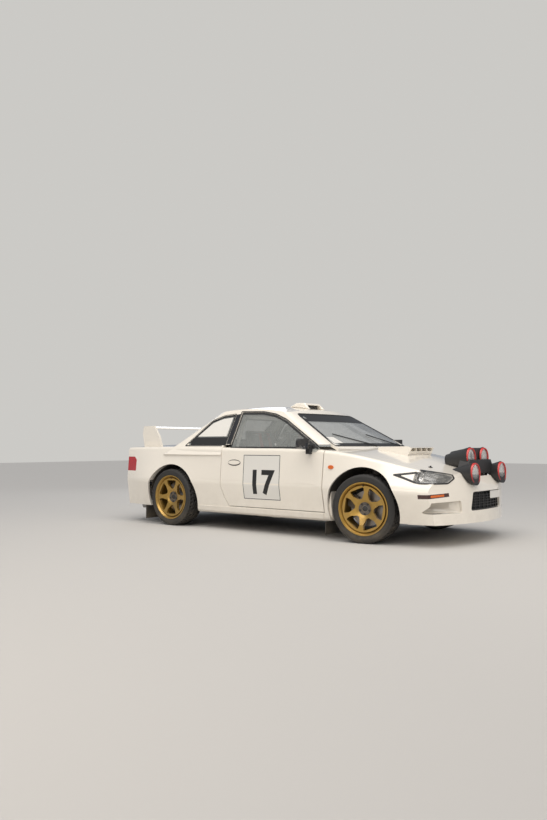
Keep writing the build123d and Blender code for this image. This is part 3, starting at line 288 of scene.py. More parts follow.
def glazing(name, tint, alpha, mist=0.0):
    """Thin glass: clear gloss over a see-through sheet with a film on it."""
    material, tree, shader = new_material(name, Base_Color=(*tint, 1), Coat_Weight=1.0, Coat_Roughness=0.02)
    mask = add(tree, "Group", {"node_tree": patches}, Scale=2.2, Fine=9.0)
    cover = add(tree, "MapRange", From_Min=0.30, From_Max=0.70, To_Min=alpha, To_Max=alpha + DUST_FILM + mist)
    rough = add(tree, "MapRange", To_Min=0.06 + mist * 0.5, To_Max=0.22 + mist)
    wire(tree, (mask, "Mask", cover, "Value"), (cover, "Result", shader, "Alpha"),
         (mask, "Mask", rough, "Value"), (rough, "Result", shader, "Roughness"))
    return material


side_glass = glazing("side_glass", (0.44, 0.46, 0.44), 0.24)
screen_glass = glazing("screen_glass", (0.46, 0.47, 0.45), 0.42, 0.10)
rear_glass = glazing("rear_glass", (0.16, 0.17, 0.17), 0.48)
lamp_glass = glazing("lamp_glass", (0.80, 0.80, 0.78), 0.14)
print("glass", side_glass.name, screen_glass.name)

# %% [markdown]
# Lamp colours are cast right through the plastic. A coloured base with a strong clear coat reads
# as such a lens, and a ribbed bump stands for the optics moulded into its back.

# %% Lamp lenses
def lens(name, colour, second, ribs, strength, axis=(0, 1, 0), rough=(0.10, 0.18), scale=10.0):
    """A glossy lens with moulded ribs: a fine wave along one direction, as bump only."""
    material = finish(name, colour, second, rough, coat=1.0, scale=scale)
    tree = material.node_tree
    place = add(tree, "TexCoord")
    turn = add(tree, "Mapping", Scale=axis)
    wave = add(tree, "TexWave", Scale=ribs, Distortion=0.0)
    bump = add(tree, "Bump", Strength=strength, Distance=0.002)
    wire(tree, (place, "Object", turn, "Vector"), (turn, "Vector", wave, "Vector"),
         (wave, "Fac", bump, "Height"), (bump, "Normal", tree.nodes["Principled BSDF"], "Normal"))
    return material


red_lens = lens("red_lens", (0.50, 0.012, 0.010), (0.38, 0.008, 0.008), 22.0, 0.25, (0, 0, 1))
amber_lens = lens("amber_lens", (0.72, 0.15, 0.012), (0.60, 0.11, 0.010), 45.0, 0.3)
smoked_lens = lens("smoked_lens", (0.060, 0.012, 0.007), (0.040, 0.009, 0.006), 45.0, 0.3)
fluted = lens("fluted_glass", (0.82, 0.80, 0.72), (0.74, 0.72, 0.64), 24.0, 0.55, rough=(0.10, 0.16),
              scale=14.0)
print("lenses", red_lens.name, amber_lens.name, fluted.name)

# %% [markdown]
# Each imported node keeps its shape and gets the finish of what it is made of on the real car.
# Panels inside and out are one sheet, so the paint goes all over them. Castings, links and the
# engine are iron, the cage is painted tube, and what faces the road is coated against stones.

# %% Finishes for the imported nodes
engine_paint = finish("engine_grey", (0.13, 0.135, 0.14), (0.20, 0.19, 0.17), (0.45, 0.65), metal=0.4,
                      scale=8.0, grain=0.5, grain_size=300.0)
NODE_FINISHES = (
    (paint, "body_shell front_fenders front_bumper rear_bumper bonnet bonnet_scoop boot_lid rear_wing "
            "door_left door_right roof_vent"),
    (underseal, "floor_pan wheel_liners"),
    (iron, "front_suspension rear_suspension rear_uprights knuckle_left knuckle_right driveline"),
    (steel, "hinge_arms disc_front_left disc_front_right disc_rear_left disc_rear_right"),
    (cage_paint, "roll_cage"),
    (side_glass, "door_glass_left door_glass_right quarter_glasses"),
    (screen_glass, "windscreen"),
    (rear_glass, "rear_window"),
    (black, "mirror_left mirror_right grille wipers dashboard steering_column lamp_pods"),
    (flap_rubber, "mudflaps"),
    (suede, "seats steering_wheel"),
    (engine_paint, "engine_block"),
    (rusty, "exhaust"),
    (gold, "rim_front_left rim_front_right rim_rear_left rim_rear_right"),
    (tyre_rubber, "tyre_front_left tyre_front_right tyre_rear_left tyre_rear_right"),
    (red_lens, "tail_lamps"),
    (smoked_lens, "indicators"),
    (lamp_glass, "headlamps"),
    (fluted, "pod_lamps"),
)
for material, names in NODE_FINISHES:
    for name in names.split():
        mesh = nodes[name].data
        mesh.materials.clear()
        mesh.materials.append(material)
dressed = sum(len(names.split()) for _, names in NODE_FINISHES)
print("nodes with a finish", dressed, "of", len(nodes))

# %% [markdown]
# These helpers are the hand moves that every piece repeats: clear the selection, make a
# primitive, pick faces by where they look or lie, push them out, and put the finished piece on
# its body with its finish. A piece ends with its place in its mesh, so that it turns about the
# right axis later.

# %% Helpers for hand modelling
def clear():
    if bpy.context.mode != "OBJECT":
        bpy.ops.object.mode_set(mode="OBJECT")
    bpy.ops.object.select_all(action="DESELECT")


def grab(obj):
    """Leaves one piece selected and active, in object mode."""
    clear()
    bpy.context.view_layer.objects.active = obj
    obj.select_set(True)


def edit(obj, mode="FACE"):
    """Opens one piece in edit mode with nothing selected."""
    grab(obj)
    bpy.ops.object.mode_set(mode="EDIT")
    bpy.ops.mesh.select_mode(type=mode)
    bpy.ops.mesh.select_all(action="DESELECT")


def select_all():
    bpy.ops.mesh.select_all(action="SELECT")


def pick(obj, test, kind="polygons"):
    """Selects the faces, edges or vertices for which the test holds, and stays in edit mode."""
    bpy.ops.object.mode_set(mode="OBJECT")
    count = 0
    for item in getattr(obj.data, kind):
        item.select = bool(test(item))
        count += item.select
    bpy.ops.object.mode_set(mode="EDIT")
    return count


def pick_in(obj, test):
    """Opens a piece in edit mode with the faces selected for which the test holds."""
    edit(obj)
    return pick(obj, test)


def inset(by):
    bpy.ops.mesh.inset(thickness=by)


def push(*move):
    """Extrudes what is selected by a move."""
    bpy.ops.mesh.extrude_region_move(TRANSFORM_OT_translate={"value": move})


def modify(obj, kind, **values):
    """Adds a modifier with its values and applies it."""
    grab(obj)
    modifier = obj.modifiers.new(kind.lower(), kind)
    for label, value in values.items():
        setattr(modifier, label, value)
    bpy.ops.object.modifier_apply(modifier=modifier.name)


def soften(obj, width, segments=2, **values):
    """Bevels a piece's sharp edges."""
    modify(obj, "BEVEL", width=width, segments=segments, limit_method="ANGLE", **values)


def tidy_normals(obj):
    edit(obj, "VERT")
    select_all()
    bpy.ops.mesh.remove_doubles(threshold=0.00002)
    bpy.ops.mesh.normals_make_consistent(inside=False)
    clear()


def settle(obj):
    """Puts the piece's place and turn into its mesh."""
    grab(obj)
    bpy.ops.object.transform_apply(location=True, rotation=True, scale=True)


def made(primitive, **values):
    """A new primitive, settled."""
    clear()
    primitive(**values)
    obj = bpy.context.object
    settle(obj)
    return obj


def done(obj, name, material, body, smooth=35):
    """Names a piece, gives it its finish and the body that carries it."""
    settle(obj)
    obj.name = name
    obj.data.name = name
    obj.data.materials.clear()
    obj.data.materials.append(material)
    bpy.ops.object.shade_smooth_by_angle(angle=math.radians(smooth))
    clear()
    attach(obj, body)
    return obj


def node_copy(name):
    """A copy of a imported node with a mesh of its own."""
    twin = nodes[name].copy()
    twin.data = nodes[name].data.copy()
    bpy.context.collection.objects.link(twin)
    return twin


def copy_of(obj, name, body, matrix):
    """A copy with its own mesh, moved by a matrix that is put into the mesh."""
    twin = obj.copy()
    twin.data = obj.data.copy()
    bpy.context.collection.objects.link(twin)
    twin.name = name
    twin.data.name = name
    twin.data.transform(matrix)
    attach(twin, body)
    return twin


def forget(*parts):
    """Removes masters once their copies are in place."""
    for part in parts:
        bpy.data.objects.remove(part)


def spun(name, profile, material, body, steps=64, matrix=None, smooth=35):
    """A closed section of radius and depth pairs, spun about X. Depth runs along X."""
    clear()
    bpy.ops.mesh.primitive_circle_add(vertices=len(profile), radius=0.01)
    obj = bpy.context.object
    for vertex, (radius, depth) in zip(obj.data.vertices, profile):
        vertex.co = (depth, 0, radius)
    edit(obj, "VERT")
    select_all()
    bpy.ops.mesh.spin(steps=steps, angle=math.tau, center=(0, 0, 0), axis=(1, 0, 0))
    tidy_normals(obj)
    if matrix is not None:
        obj.data.transform(matrix)
    return done(obj, name, material, body, smooth)


CYLINDER = bpy.ops.mesh.primitive_cylinder_add
CUBE = bpy.ops.mesh.primitive_cube_add
ALONG_X = (0, math.pi / 2, 0)
print("helpers ready")

# %% [markdown]
# Where the front wheels stand is a turn of 8 degrees about the kingpins, as parked in the
# photograph. Wheel pieces are built at the origin, facing out along X, and one matrix per wheel
# puts them on their hubs, so every wheel gets the same work.

# %% Wheel places
AXLES = (("front", 1.290), ("rear", -1.230))
HUB_Y, HUB_Z = 0.7495, 0.318
KINGPIN_Y = 0.680
PARKED_TURN = math.radians(8)
WHEELS = []
for end, axle_x in AXLES:
    for word, side in SIDES:
        hub = Matrix.Translation((axle_x, side * HUB_Y, HUB_Z))
        place = hub @ Matrix.Rotation(side * math.pi / 2, 4, "Z")
        if end == "front":
            pin = Matrix.Translation((axle_x, side * KINGPIN_Y, 0))
            place = pin @ Matrix.Rotation(PARKED_TURN, 4, "Z") @ pin.inverted() @ place
        WHEELS.append((f"{end}_{word}", f"wheel_{end}_{word}", place))
for name, body, place in WHEELS:
    print(name, short(place.translation))

# %% [markdown]
# A low road tyre for tarmac stages: a flat tread with three round grooves, a rounded shoulder, a
# sidewall that bulges past the rim, and a bead that tucks in beside it. The section is drawn as
# radii and depths, one half mirrored, and spun. The cross cuts are bevelled edges pushed in, as a
# mould would.

# %% Tyre
TREAD_R = 0.3178
GROOVE_R = 0.3110
TYRE_STEPS = 90
CUT_STEP = math.tau / TYRE_STEPS
CUT_AREA = 0.0040 * 0.045
CUT_WIDTH = 0.0042
TYRE_SECTION = [(0.2300, 0.098), (0.2380, 0.1040), (0.2470, 0.1075), (0.2600, 0.1105), (0.2760, 0.1122),
                (0.2900, 0.1112), (0.3020, 0.1075), (0.3105, 0.1010), (0.3150, 0.0930)]
TREAD = [(TREAD_R - 0.0012, 0.080), (TREAD_R - 0.0006, 0.056), (GROOVE_R, 0.054), (GROOVE_R, 0.046),
         (TREAD_R - 0.0002, 0.044), (TREAD_R, 0.006), (GROOVE_R, 0.004)]


def mirrored(section):
    return [(radius, -depth) for radius, depth in reversed(section)]


outer = TYRE_SECTION + TREAD
wall = [(0.2330, -0.088), (0.2600, -0.098), (0.2900, -0.094), (0.3010, -0.070), (0.3030, 0.0)]
tyre = spun("tyre_master", outer + mirrored(outer) + wall + mirrored(wall[:-1]), tyre_rubber,
            "wheel_rear_left", steps=TYRE_STEPS, smooth=30)
edit(tyre, "EDGE")


def is_cross_cut(edge):
    a, b = (tyre.data.vertices[i].co for i in edge.vertices)
    if min(math.hypot(a.y, a.z), math.hypot(b.y, b.z)) < 0.3149 or abs(a.x - b.x) < 0.004:
        return False
    if abs(math.atan2(a.y, a.z) - math.atan2(b.y, b.z)) > 0.001:
        return False
    step = round((math.atan2(a.y, a.z) + math.pi) / CUT_STEP)
    return step % 2 == 0 if abs(a.x + b.x) / 2 > 0.05 else step % 4 == 1


cuts = pick(tyre, is_cross_cut, "edges")
bpy.ops.mesh.bevel(offset=0.0018, segments=1, affect="EDGES")
bpy.ops.mesh.select_mode(type="FACE")


def face_width(face):
    angles = [math.atan2(tyre.data.vertices[i].co.y, tyre.data.vertices[i].co.z) for i in face.vertices]
    span = max(angles) - min(angles)
    return min(span, math.tau - span) * TREAD_R if span < 6 else 0.0


def is_cut_floor(face):
    c = face.center
    if math.hypot(c.y, c.z) <= 0.3145 or face.area >= CUT_AREA or abs(c.x) >= 0.09:
        return False
    return face.normal.dot(Vector((0, c.y, c.z)).normalized()) > 0.9 and face_width(face) < CUT_WIDTH


floors = pick(tyre, is_cut_floor)
bpy.ops.mesh.extrude_region_shrink_fatten(TRANSFORM_OT_shrink_fatten={"value": -0.0042})
clear()
print("tyre cross cuts", cuts, "floors pushed in", floors, "faces", len(tyre.data.polygons))

# %% [markdown]
# The sidewall of a plain tyre still has moulded rings: a rim guard and two fine ribs. They are
# thin hoops that sit half sunk in the rubber, spun in one go.

# %% Sidewall rings, and a tyre for each wheel
RINGS = ((0.2520, 0.1090, 0.0016), (0.2860, 0.1117, 0.0010), (0.2935, 0.1102, 0.0010))
rings = []
for index, (radius, depth, size) in enumerate(RINGS):
    hoop = [(radius + size * math.cos(math.radians(a)), depth + size * math.sin(math.radians(a)))
            for a in range(0, 360, 60)]
    rings.append(spun(f"ring_{index}", hoop, tyre_rubber, "wheel_rear_left", steps=72))
clear()
for ring in rings:
    ring.select_set(True)
tyre.select_set(True)
bpy.context.view_layer.objects.active = tyre
bpy.ops.object.join()
for name, body, place in WHEELS:
    twin = copy_of(tyre, f"tyre_{name}_rubber", body, place)
    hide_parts(f"tyre_{name}")
forget(tyre)
print("tyres", len(WHEELS))

# %% [markdown]
# The rims come from the imported model, with six spokes and their hub recess. What a hand still adds
# is what bolts them on: five steel nuts with a chamfer, a cap in the hub, and a valve. Five black
# discs between the nuts are painted shade for holes, and a dark iron ring is painted shade in the hub.

# %% Wheel nuts, painted hub shade, hub cap and valve
FACE_X = 0.036
NUT_CIRCLE = 0.054
nut = made(CYLINDER, vertices=6, radius=0.0125, depth=0.022, rotation=ALONG_X)
pick_in(nut, lambda face: face.normal.x > 0.9)
inset(0.0022)
bpy.ops.transform.translate(value=(0.003, 0, 0))
inset(0.0042)
push(-0.006, 0, 0)
soften(nut, 0.0008, 1)
nut.data.materials.append(steel)
# The hole is a black disc sunk a little: its black is painted shade for a hole between the nuts.
hole_shade = made(CYLINDER, vertices=18, radius=0.0105, depth=0.003, location=(0.0628, 0, 0.0500), rotation=ALONG_X)
pick_in(hole_shade, lambda face: face.normal.x > 0.9)
inset(0.0015)
push(-0.0012, 0, 0)
clear()
hole_shade.data.materials.append(ink)
for label, part, shift, start in (("nut", nut, (FACE_X, 0, NUT_CIRCLE), 0),
                                  ("hub_hole_shade", hole_shade, (0, 0, 0), 0.5)):
    for index in range(5):
        turn = Matrix.Rotation((index + start) * math.tau / 5, 4, "X") @ Matrix.Translation(shift)
        for name, body, place in WHEELS:
            copy_of(part, f"{label}_{name}_{index}", body, place @ turn)
forget(nut, hole_shade)
CAP = [(0.0010, 0.0645), (0.0180, 0.0640), (0.0240, 0.0610), (0.0262, 0.0560), (0.0262, 0.0450),
       (0.0010, 0.0450)]
# The hub ring is dark cast iron, painted shade in the hub's gold recess.
RECESS_SHADE = [(0.0305, 0.0600), (0.0612, 0.0625), (0.0612, 0.0632), (0.0305, 0.0608)]
cap = spun("hub_cap", CAP, black, "wheel_rear_left", steps=40)
ring = spun("hub_recess_shade", RECESS_SHADE, iron, "wheel_rear_left", steps=40)
clear()
CYLINDER(vertices=12, radius=0.0042, depth=0.034, location=(0.104, 0, 0.214),
         rotation=(0, math.radians(70), 0))
valve = bpy.context.object
pick_in(valve, lambda face: face.normal.z > 0.9)
inset(0.0012)
push(0.004, 0, 0.001)
done(valve, "valve", black, "wheel_rear_left")
for name, body, place in WHEELS:
    for part in (cap, ring, valve):
        copy_of(part, f"{part.name}_{name}", body, place)
forget(cap, ring, valve)
print("nuts, caps and valves on", len(WHEELS), "wheels")

# %% [markdown]
# Seals, black edges and stickers all lie on curved panels. Each starts as a flat outline outside
# the car. It is cut into a fine grid by bisecting, pressed onto the panels with Shrinkwrap, and
# given its thickness outwards. A joined copy of the outer panels is the form it is pressed on.

# %% Panel forms to press on
SKINS = {
    "body": "body_shell front_fenders front_bumper rear_bumper door_left door_right windscreen rear_window "
            "quarter_glasses bonnet boot_lid",
    "nose": "headlamps front_fenders front_bumper bonnet",
}
forms = {}


def form_of(names):
    """A joined copy of the named nodes, kept for pressing on."""
    if names not in forms:
        clear()
        for name in SKINS.get(names, names).split():
            twin = node_copy(name)
            twin.select_set(True)
            bpy.context.view_layer.objects.active = twin
        bpy.ops.object.join()
        forms[names] = bpy.context.object
    return forms[names]


def oblong(a0, b0, a1, b1):
    """A rectangle's outline, from two opposite corners."""
    return [(a0, b0), (a1, b0), (a1, b1), (a0, b1)]


def oval(a, b, width, height, count=20):
    return [(a + width / 2 * math.cos(math.tau * i / count), b + height / 2 * math.sin(math.tau * i / count))
            for i in range(count)]


def grown(points, by):
    """The outline moved out by a distance, each corner along both of its edges."""
    area = sum(a[0] * b[1] - b[0] * a[1] for a, b in zip(points, points[1:] + points[:1]))
    sign = 1 if area > 0 else -1
    out = []
    for before, here, after in zip(points[-1:] + points[:-1], points, points[1:] + points[:1]):
        normals = []
        for a, b in ((before, here), (here, after)):
            dx, dy = b[0] - a[0], b[1] - a[1]
            length = math.hypot(dx, dy)
            normals.append((sign * dy / length, -sign * dx / length))
        (ax, ay), (bx, by2) = normals
        scale = by / (1 + ax * bx + ay * by2)
        out.append((here[0] + (ax + bx) * scale, here[1] + (ay + by2) * scale))
    return out


# Ways of looking at an outline: side views hold x and z, end views y and z
VIEWS = {
    "left": (lambda a, b: (a, 1.30, b), "use_project_y", 0.90, (0, 1, 0)),
    "right": (lambda a, b: (a, -1.30, b), "use_project_y", 0.90, (0, -1, 0)),
    "front": (lambda a, b: (2.60, a, b), "use_project_x", 2.50, (1, 0, 0)),
    "rear": (lambda a, b: (-2.60, a, b), "use_project_x", 2.20, (-1, 0, 0)),
}


def laid(name, outline, view, form, material, body, thick=0.0015, band=0, round_by=0, pitch=0.03, lift=0.0):
    """A sheet or band with this outline, pressed onto a form from one side and thickened outwards."""
    spot, axis, reach, out = VIEWS[view]
    out = Vector(out)
    clear()
    bpy.ops.mesh.primitive_circle_add(vertices=len(outline), radius=0.1, fill_type="NGON")
    obj = bpy.context.object
    for vertex, (a, b) in zip(obj.data.vertices, outline):
        vertex.co = spot(a, b)
    edit(obj, "VERT")
    if round_by:
        select_all()
        bpy.ops.mesh.bevel(offset=round_by, segments=5, affect="VERTICES")
    bpy.ops.mesh.select_mode(type="FACE")
    select_all()
    if band:
        inset(band)
        bpy.ops.mesh.delete(type="FACE")
    for direction in (Vector((1, 0, 0)), Vector((0, 1, 0)), Vector((0, 0, 1))):
        if abs(direction.dot(out)) > 0.5:
            continue
        places = [vertex.co.dot(direction) for vertex in obj.data.vertices]
        low, high = min(places), max(places)
        for step in range(1, max(1, int((high - low) / pitch))):
            select_all()
            bpy.ops.mesh.bisect(plane_co=direction * (low + step * pitch), plane_no=direction)
    bpy.ops.object.mode_set(mode="OBJECT")
    obj.data.update()
    middle = sum((face.normal * face.area for face in obj.data.polygons), Vector())
    if middle.dot(out) < 0:
        obj.data.flip_normals()
    modify(obj, "SHRINKWRAP", target=form_of(form), wrap_method="PROJECT", wrap_mode="ON_SURFACE",
           use_negative_direction=True, use_positive_direction=True, project_limit=reach, cull_face="OFF",
           **{axis: True})
    start = Vector(spot(0, 0)).dot(out)
    edit(obj, "VERT")
    if pick(obj, lambda vertex: vertex.co.dot(out) > start - 0.01, "vertices"):
        bpy.ops.mesh.delete(type="VERT")
    clear()
    if lift:
        modify(obj, "DISPLACE", strength=lift, mid_level=0.0)
    modify(obj, "SOLIDIFY", thickness=thick, offset=1.0, use_rim=True)
    return done(obj, name, material, body, 40)


print("ready to press pieces on from", list(VIEWS))

# %% [markdown]
# The windows are bonded in flush, with a black border printed on the glass and a rubber lip on
# the body around it. The border rides with its glass. The lip stays on the body, so a door can
# open and leave it behind.

# %% Window borders and lips
DOOR_GLASS = [(0.800, 0.870), (0.268, 1.160), (0.110, 1.218), (-0.060, 1.248), (-0.366, 1.256),
              (-0.372, 0.870)]
QUARTER_GLASS = [(-0.448, 0.902), (-0.446, 1.243), (-0.610, 1.228), (-0.770, 1.176), (-1.050, 0.902)]
WINDSCREEN = [(0.690, 0.902), (0.520, 1.228), (-0.520, 1.228), (-0.690, 0.902)]
REAR_WINDOW = [(0.640, 0.955), (0.500, 1.232), (-0.500, 1.232), (-0.640, 0.955)]
LIP = 0.0022
INK_FILM = 0.0006
for word, side in SIDES:
    laid(f"door_glass_border_{word}", grown(DOOR_GLASS, -0.002), word, f"door_glass_{word}", ink,
         f"door_{word}", INK_FILM, band=0.016, round_by=0.012)
    laid(f"door_window_lip_{word}", grown(DOOR_GLASS, 0.019), word, "body_shell", rubber, "car", LIP,
         band=0.011, round_by=0.010)
    laid(f"quarter_border_{word}", grown(QUARTER_GLASS, -0.001), word, "quarter_glasses", ink, "car",
         INK_FILM, band=0.020, round_by=0.020)
    laid(f"quarter_lip_{word}", grown(QUARTER_GLASS, 0.009), word, "body", rubber, "car", LIP, band=0.011,
         round_by=0.024)
for name, outline, view, glass, border in (("screen", WINDSCREEN, "front", "windscreen", 0.022),
                                           ("rear", REAR_WINDOW, "rear", "rear_window", 0.026)):
    laid(f"{name}_border", grown(outline, -0.001), view, glass, ink, "car", INK_FILM, band=border,
         round_by=0.03)
    laid(f"{name}_lip", grown(outline, 0.010), view, "body", rubber, "car", LIP, band=0.012, round_by=0.035)
print("borders and lips pressed on")

# %% [markdown]
# Stickers are paper thin, so they are sheets about a millimetre proud. The door carries a plain
# white panel with a fine black frame and the start number, and nothing else. The quarter window has
# a dark lower band and a blank white panel, the windscreen a dark strip and a blank sticker. Black
# covers lie on the door pillar and in the front corner of the door's window.

# %% Number panels and window bands
PANEL = oblong(-0.157, 0.344, 0.333, 0.807)
NUMBER_X = 0.088


def start_number(word, side):
    """Two digits on the door, cut as text, made a mesh and pressed on."""
    clear()
    bpy.ops.object.text_add(location=(0, 0, 0))
    text = bpy.context.object.data
    text.body = "17"
    text.size = 0.336
    text.align_x = "CENTER"
    text.align_y = "CENTER"
    text.offset = 0.010
    text.resolution_u = 6
    bpy.ops.object.convert(target="MESH")
    digits = bpy.context.object
    digits.rotation_euler = (math.pi / 2, 0, 0 if side < 0 else math.pi)
    digits.location = (NUMBER_X, side * 1.30, 0.513)
    settle(digits)
    edit(digits)
    for direction in (Vector((1, 0, 0)), Vector((0, 0, 1))):
        for step in range(-9, 10):
            select_all()
            bpy.ops.mesh.bisect(plane_co=Vector((NUMBER_X, 0, 0.505)) + direction * step * 0.025,
                                plane_no=direction)
    clear()
    modify(digits, "SHRINKWRAP", target=form_of(f"door_{word}"), wrap_method="PROJECT", use_project_y=True,
           use_negative_direction=True, use_positive_direction=True, cull_face="OFF")
    if digits.data.polygons[0].normal.y * side < 0:
        digits.data.flip_normals()
    modify(digits, "SOLIDIFY", thickness=0.0013, offset=1.0)
    done(digits, f"start_number_{word}", ink, f"door_{word}", 40)


for word, side in SIDES:
    door = f"door_{word}"
    laid(f"number_panel_{word}", PANEL, word, door, white_plate, door, 0.0005, round_by=0.008)
    laid(f"number_frame_{word}", grown(PANEL, -0.004), word, door, ink, door, 0.0009, band=0.006,
         round_by=0.006)
    start_number(word, side)
    laid(f"quarter_band_{word}", [(-0.462, 0.916), (-0.462, 0.992), (-0.950, 0.992), (-1.020, 0.916)], word,
         "quarter_glasses", ink, "car", 0.0008)
    laid(f"quarter_panel_{word}",
         [(-0.486, 1.002), (-0.484, 1.208), (-0.615, 1.194), (-0.752, 1.150), (-0.915, 1.002)],
         word, "quarter_glasses", white_plate, "car", 0.0009, round_by=0.006)
    laid(f"pillar_cover_{word}", [(-0.378, 0.886), (-0.374, 1.247), (-0.441, 1.238), (-0.443, 0.900)], word,
         "body_shell", gloss_black, "car", 0.0014, round_by=0.003)
    laid(f"window_sail_{word}", [(0.782, 0.879), (0.575, 0.879), (0.575, 0.986)], word, f"door_glass_{word}",
         black, door, 0.0030, round_by=0.006)
laid("sunstrip", [(0.545, 1.150), (0.525, 1.222), (-0.525, 1.222), (-0.545, 1.150)], "front", "windscreen",
     ink, "car", 0.0009, round_by=0.004)
laid("screen_sticker", [(-0.640, 0.925), (-0.520, 0.925), (-0.530, 0.985), (-0.625, 0.985)], "front",
     "windscreen", white_plate, "car", 0.0010, round_by=0.006)
print("stickers pressed on both sides")

# %% [markdown]
# A rally lamp is a metal bowl with a red rim, a domed glass and a bulb. Each is a closed section
# of its own, spun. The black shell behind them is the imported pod.

# %% Lamps in the pods
LAMPS = ((2.170, 0.312, 0.645), (2.060, 0.150, 0.782))
RIM_WALL = [(0.0985, -0.020), (0.0985, 0.004), (0.0960, 0.0085), (0.0900, 0.0095), (0.0860, 0.0060),
            (0.0860, -0.002), (0.0900, -0.018)]
LENS = [(0.0003, 0.0075), (0.0300, 0.0068), (0.0580, 0.0045), (0.0860, 0.0005), (0.0862, -0.003),
        (0.0560, 0.001), (0.0280, 0.0035), (0.0003, 0.0045)]
BOWL = [(0.0900, -0.0045), (0.0700, -0.0120), (0.0420, -0.0165), (0.0160, -0.0185), (0.0003, -0.0188),
        (0.0003, -0.0198), (0.0440, -0.0190), (0.0900, -0.0175)]
BULB = [(0.0003, -0.006), (0.0080, -0.0085), (0.0095, -0.0170), (0.0003, -0.0170)]
lamp_parts = [
    spun("lamp_rim", RIM_WALL, red_ring, "bonnet", steps=56),
    spun("lamp_lens", LENS, lamp_glass, "bonnet", steps=56),
    spun("lamp_bowl", BOWL, chrome, "bonnet", steps=56),
    spun("lamp_bulb", BULB, fluted, "bonnet", steps=24),
]
count = 0
for x, y, z in LAMPS:
    for word, side in SIDES:
        count += 1
        for part in lamp_parts:
            twin = copy_of(part, f"{part.name}_{count}", "bonnet", Matrix.Translation((x, side * y, z)))
            if part.name == "lamp_rim":
                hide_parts("pod_lamps")
forget(*lamp_parts)
print("rally lamps", count)

# %% [markdown]
# Small pieces need the true height of the panel under them. A ray dropped on the panel's own
# mesh gives the point and the way the surface faces there, so each piece sits square on it.

# %% Finding the surface
trees = {}


def surface(names, origin, direction):
    """Where a ray meets the named nodes and the outward normal there, or two Nones if it misses."""
    if names not in trees:
        form = form_of(names)
        trees[names] = BVHTree.FromPolygons([v.co.copy() for v in form.data.vertices],
                                            [tuple(p.vertices) for p in form.data.polygons])
    point, normal, _, _ = trees[names].ray_cast(Vector(origin), Vector(direction))
    if normal and normal.dot(Vector(direction)) > 0:
        normal = -normal
    return point, normal


def standing(point, normal):
    """A matrix that stands a piece made along Z on a surface, facing along its normal."""
    return Matrix.Translation(point) @ normal.to_track_quat("Z", "Y").to_matrix().to_4x4()


probe = surface("bonnet", (1.82, 0.5, 2.0), (0, 0, -1))
print("bonnet under its pin", short(probe[0]))

# %% [markdown]
# A bonnet pin here is a round plate with a stud that rises from its middle, both with softened
# edges. The spring clip is left out.

# %% Bonnet and boot pins
pin = made(CYLINDER, vertices=24, radius=0.021, depth=0.003, location=(0, 0, 0.0015))
pick_in(pin, lambda face: face.normal.z > 0.9)
for thickness, rise in ((0.013, 0.009), (0.002, 0.003)):
    inset(thickness)
    push(0, 0, rise)
soften(pin, 0.0008)
pin.data.materials.append(black)
for lid, spots in (("bonnet", ((1.82, 0.5), (1.82, -0.5))), ("boot_lid", ((-2.02, 0.46), (-2.02, -0.46)))):
    for index, (x, y) in enumerate(spots):
        point, normal = surface(lid, (x, y, 2.0), (0, 0, -1))
        copy_of(pin, f"{lid}_pin_{index}", lid, standing(point, normal))
forget(pin)
print("pins set on bonnet and boot")

# %% [markdown]
# A headlamp is a clear cover over a dark box with two bright bowls in it. The cover is the imported
# solid with a glass finish. The box's back is the cover's own curve moved in, and the bowls are
# spun. A black line frames the cover.

# %% Headlamps
HEADLAMP = [(0.815, 0.640), (0.812, 0.562), (0.620, 0.562), (0.545, 0.608), (0.575, 0.650), (0.700, 0.684)]
HEADLAMP_BOWL = [(0.0480, 0.030), (0.0440, 0.012), (0.0320, 0.001), (0.0140, -0.005), (0.0003, -0.006),
                 (0.0003, -0.008), (0.0150, -0.007), (0.0340, -0.001), (0.0460, 0.011), (0.0500, 0.030)]
BOWL_PLACES = ((1.822, 0.745, 0.612, 1.0), (1.905, 0.650, 0.610, 0.86))
BOWL_TURN = math.radians(14)
lamp_back = finish("lamp_bezel", (0.20, 0.20, 0.20), (0.12, 0.12, 0.12), (0.18, 0.30), metal=0.9, scale=10.0)
for word, side in SIDES:
    outline = [(side * y, z) for y, z in HEADLAMP]
    laid(f"headlamp_back_{word}", grown(outline, -0.003), "front", "headlamps", lamp_back, "car", 0.001,
         round_by=0.012, lift=-0.040)
    laid(f"headlamp_line_{word}", grown(outline, 0.003), "front", "nose", ink, "car", 0.0024, band=0.012,
         round_by=0.015)
    for index, (x, y, z, size) in enumerate(BOWL_PLACES):
        turn = Matrix.Rotation(side * BOWL_TURN, 4, "Z") @ Matrix.Scale(size, 4)
        spun(f"headlamp_bowl_{word}_{index}", HEADLAMP_BOWL, chrome, "car", steps=40,
             matrix=Matrix.Translation((x, side * y, z)) @ turn)
print("headlamps filled")

# %% [markdown]
# Behind each side opening of the bumper is a painted scoop that feeds air to the brakes. It starts
# as a flat plate over the opening, and is inset and pushed back into a pocket with rounded edges.

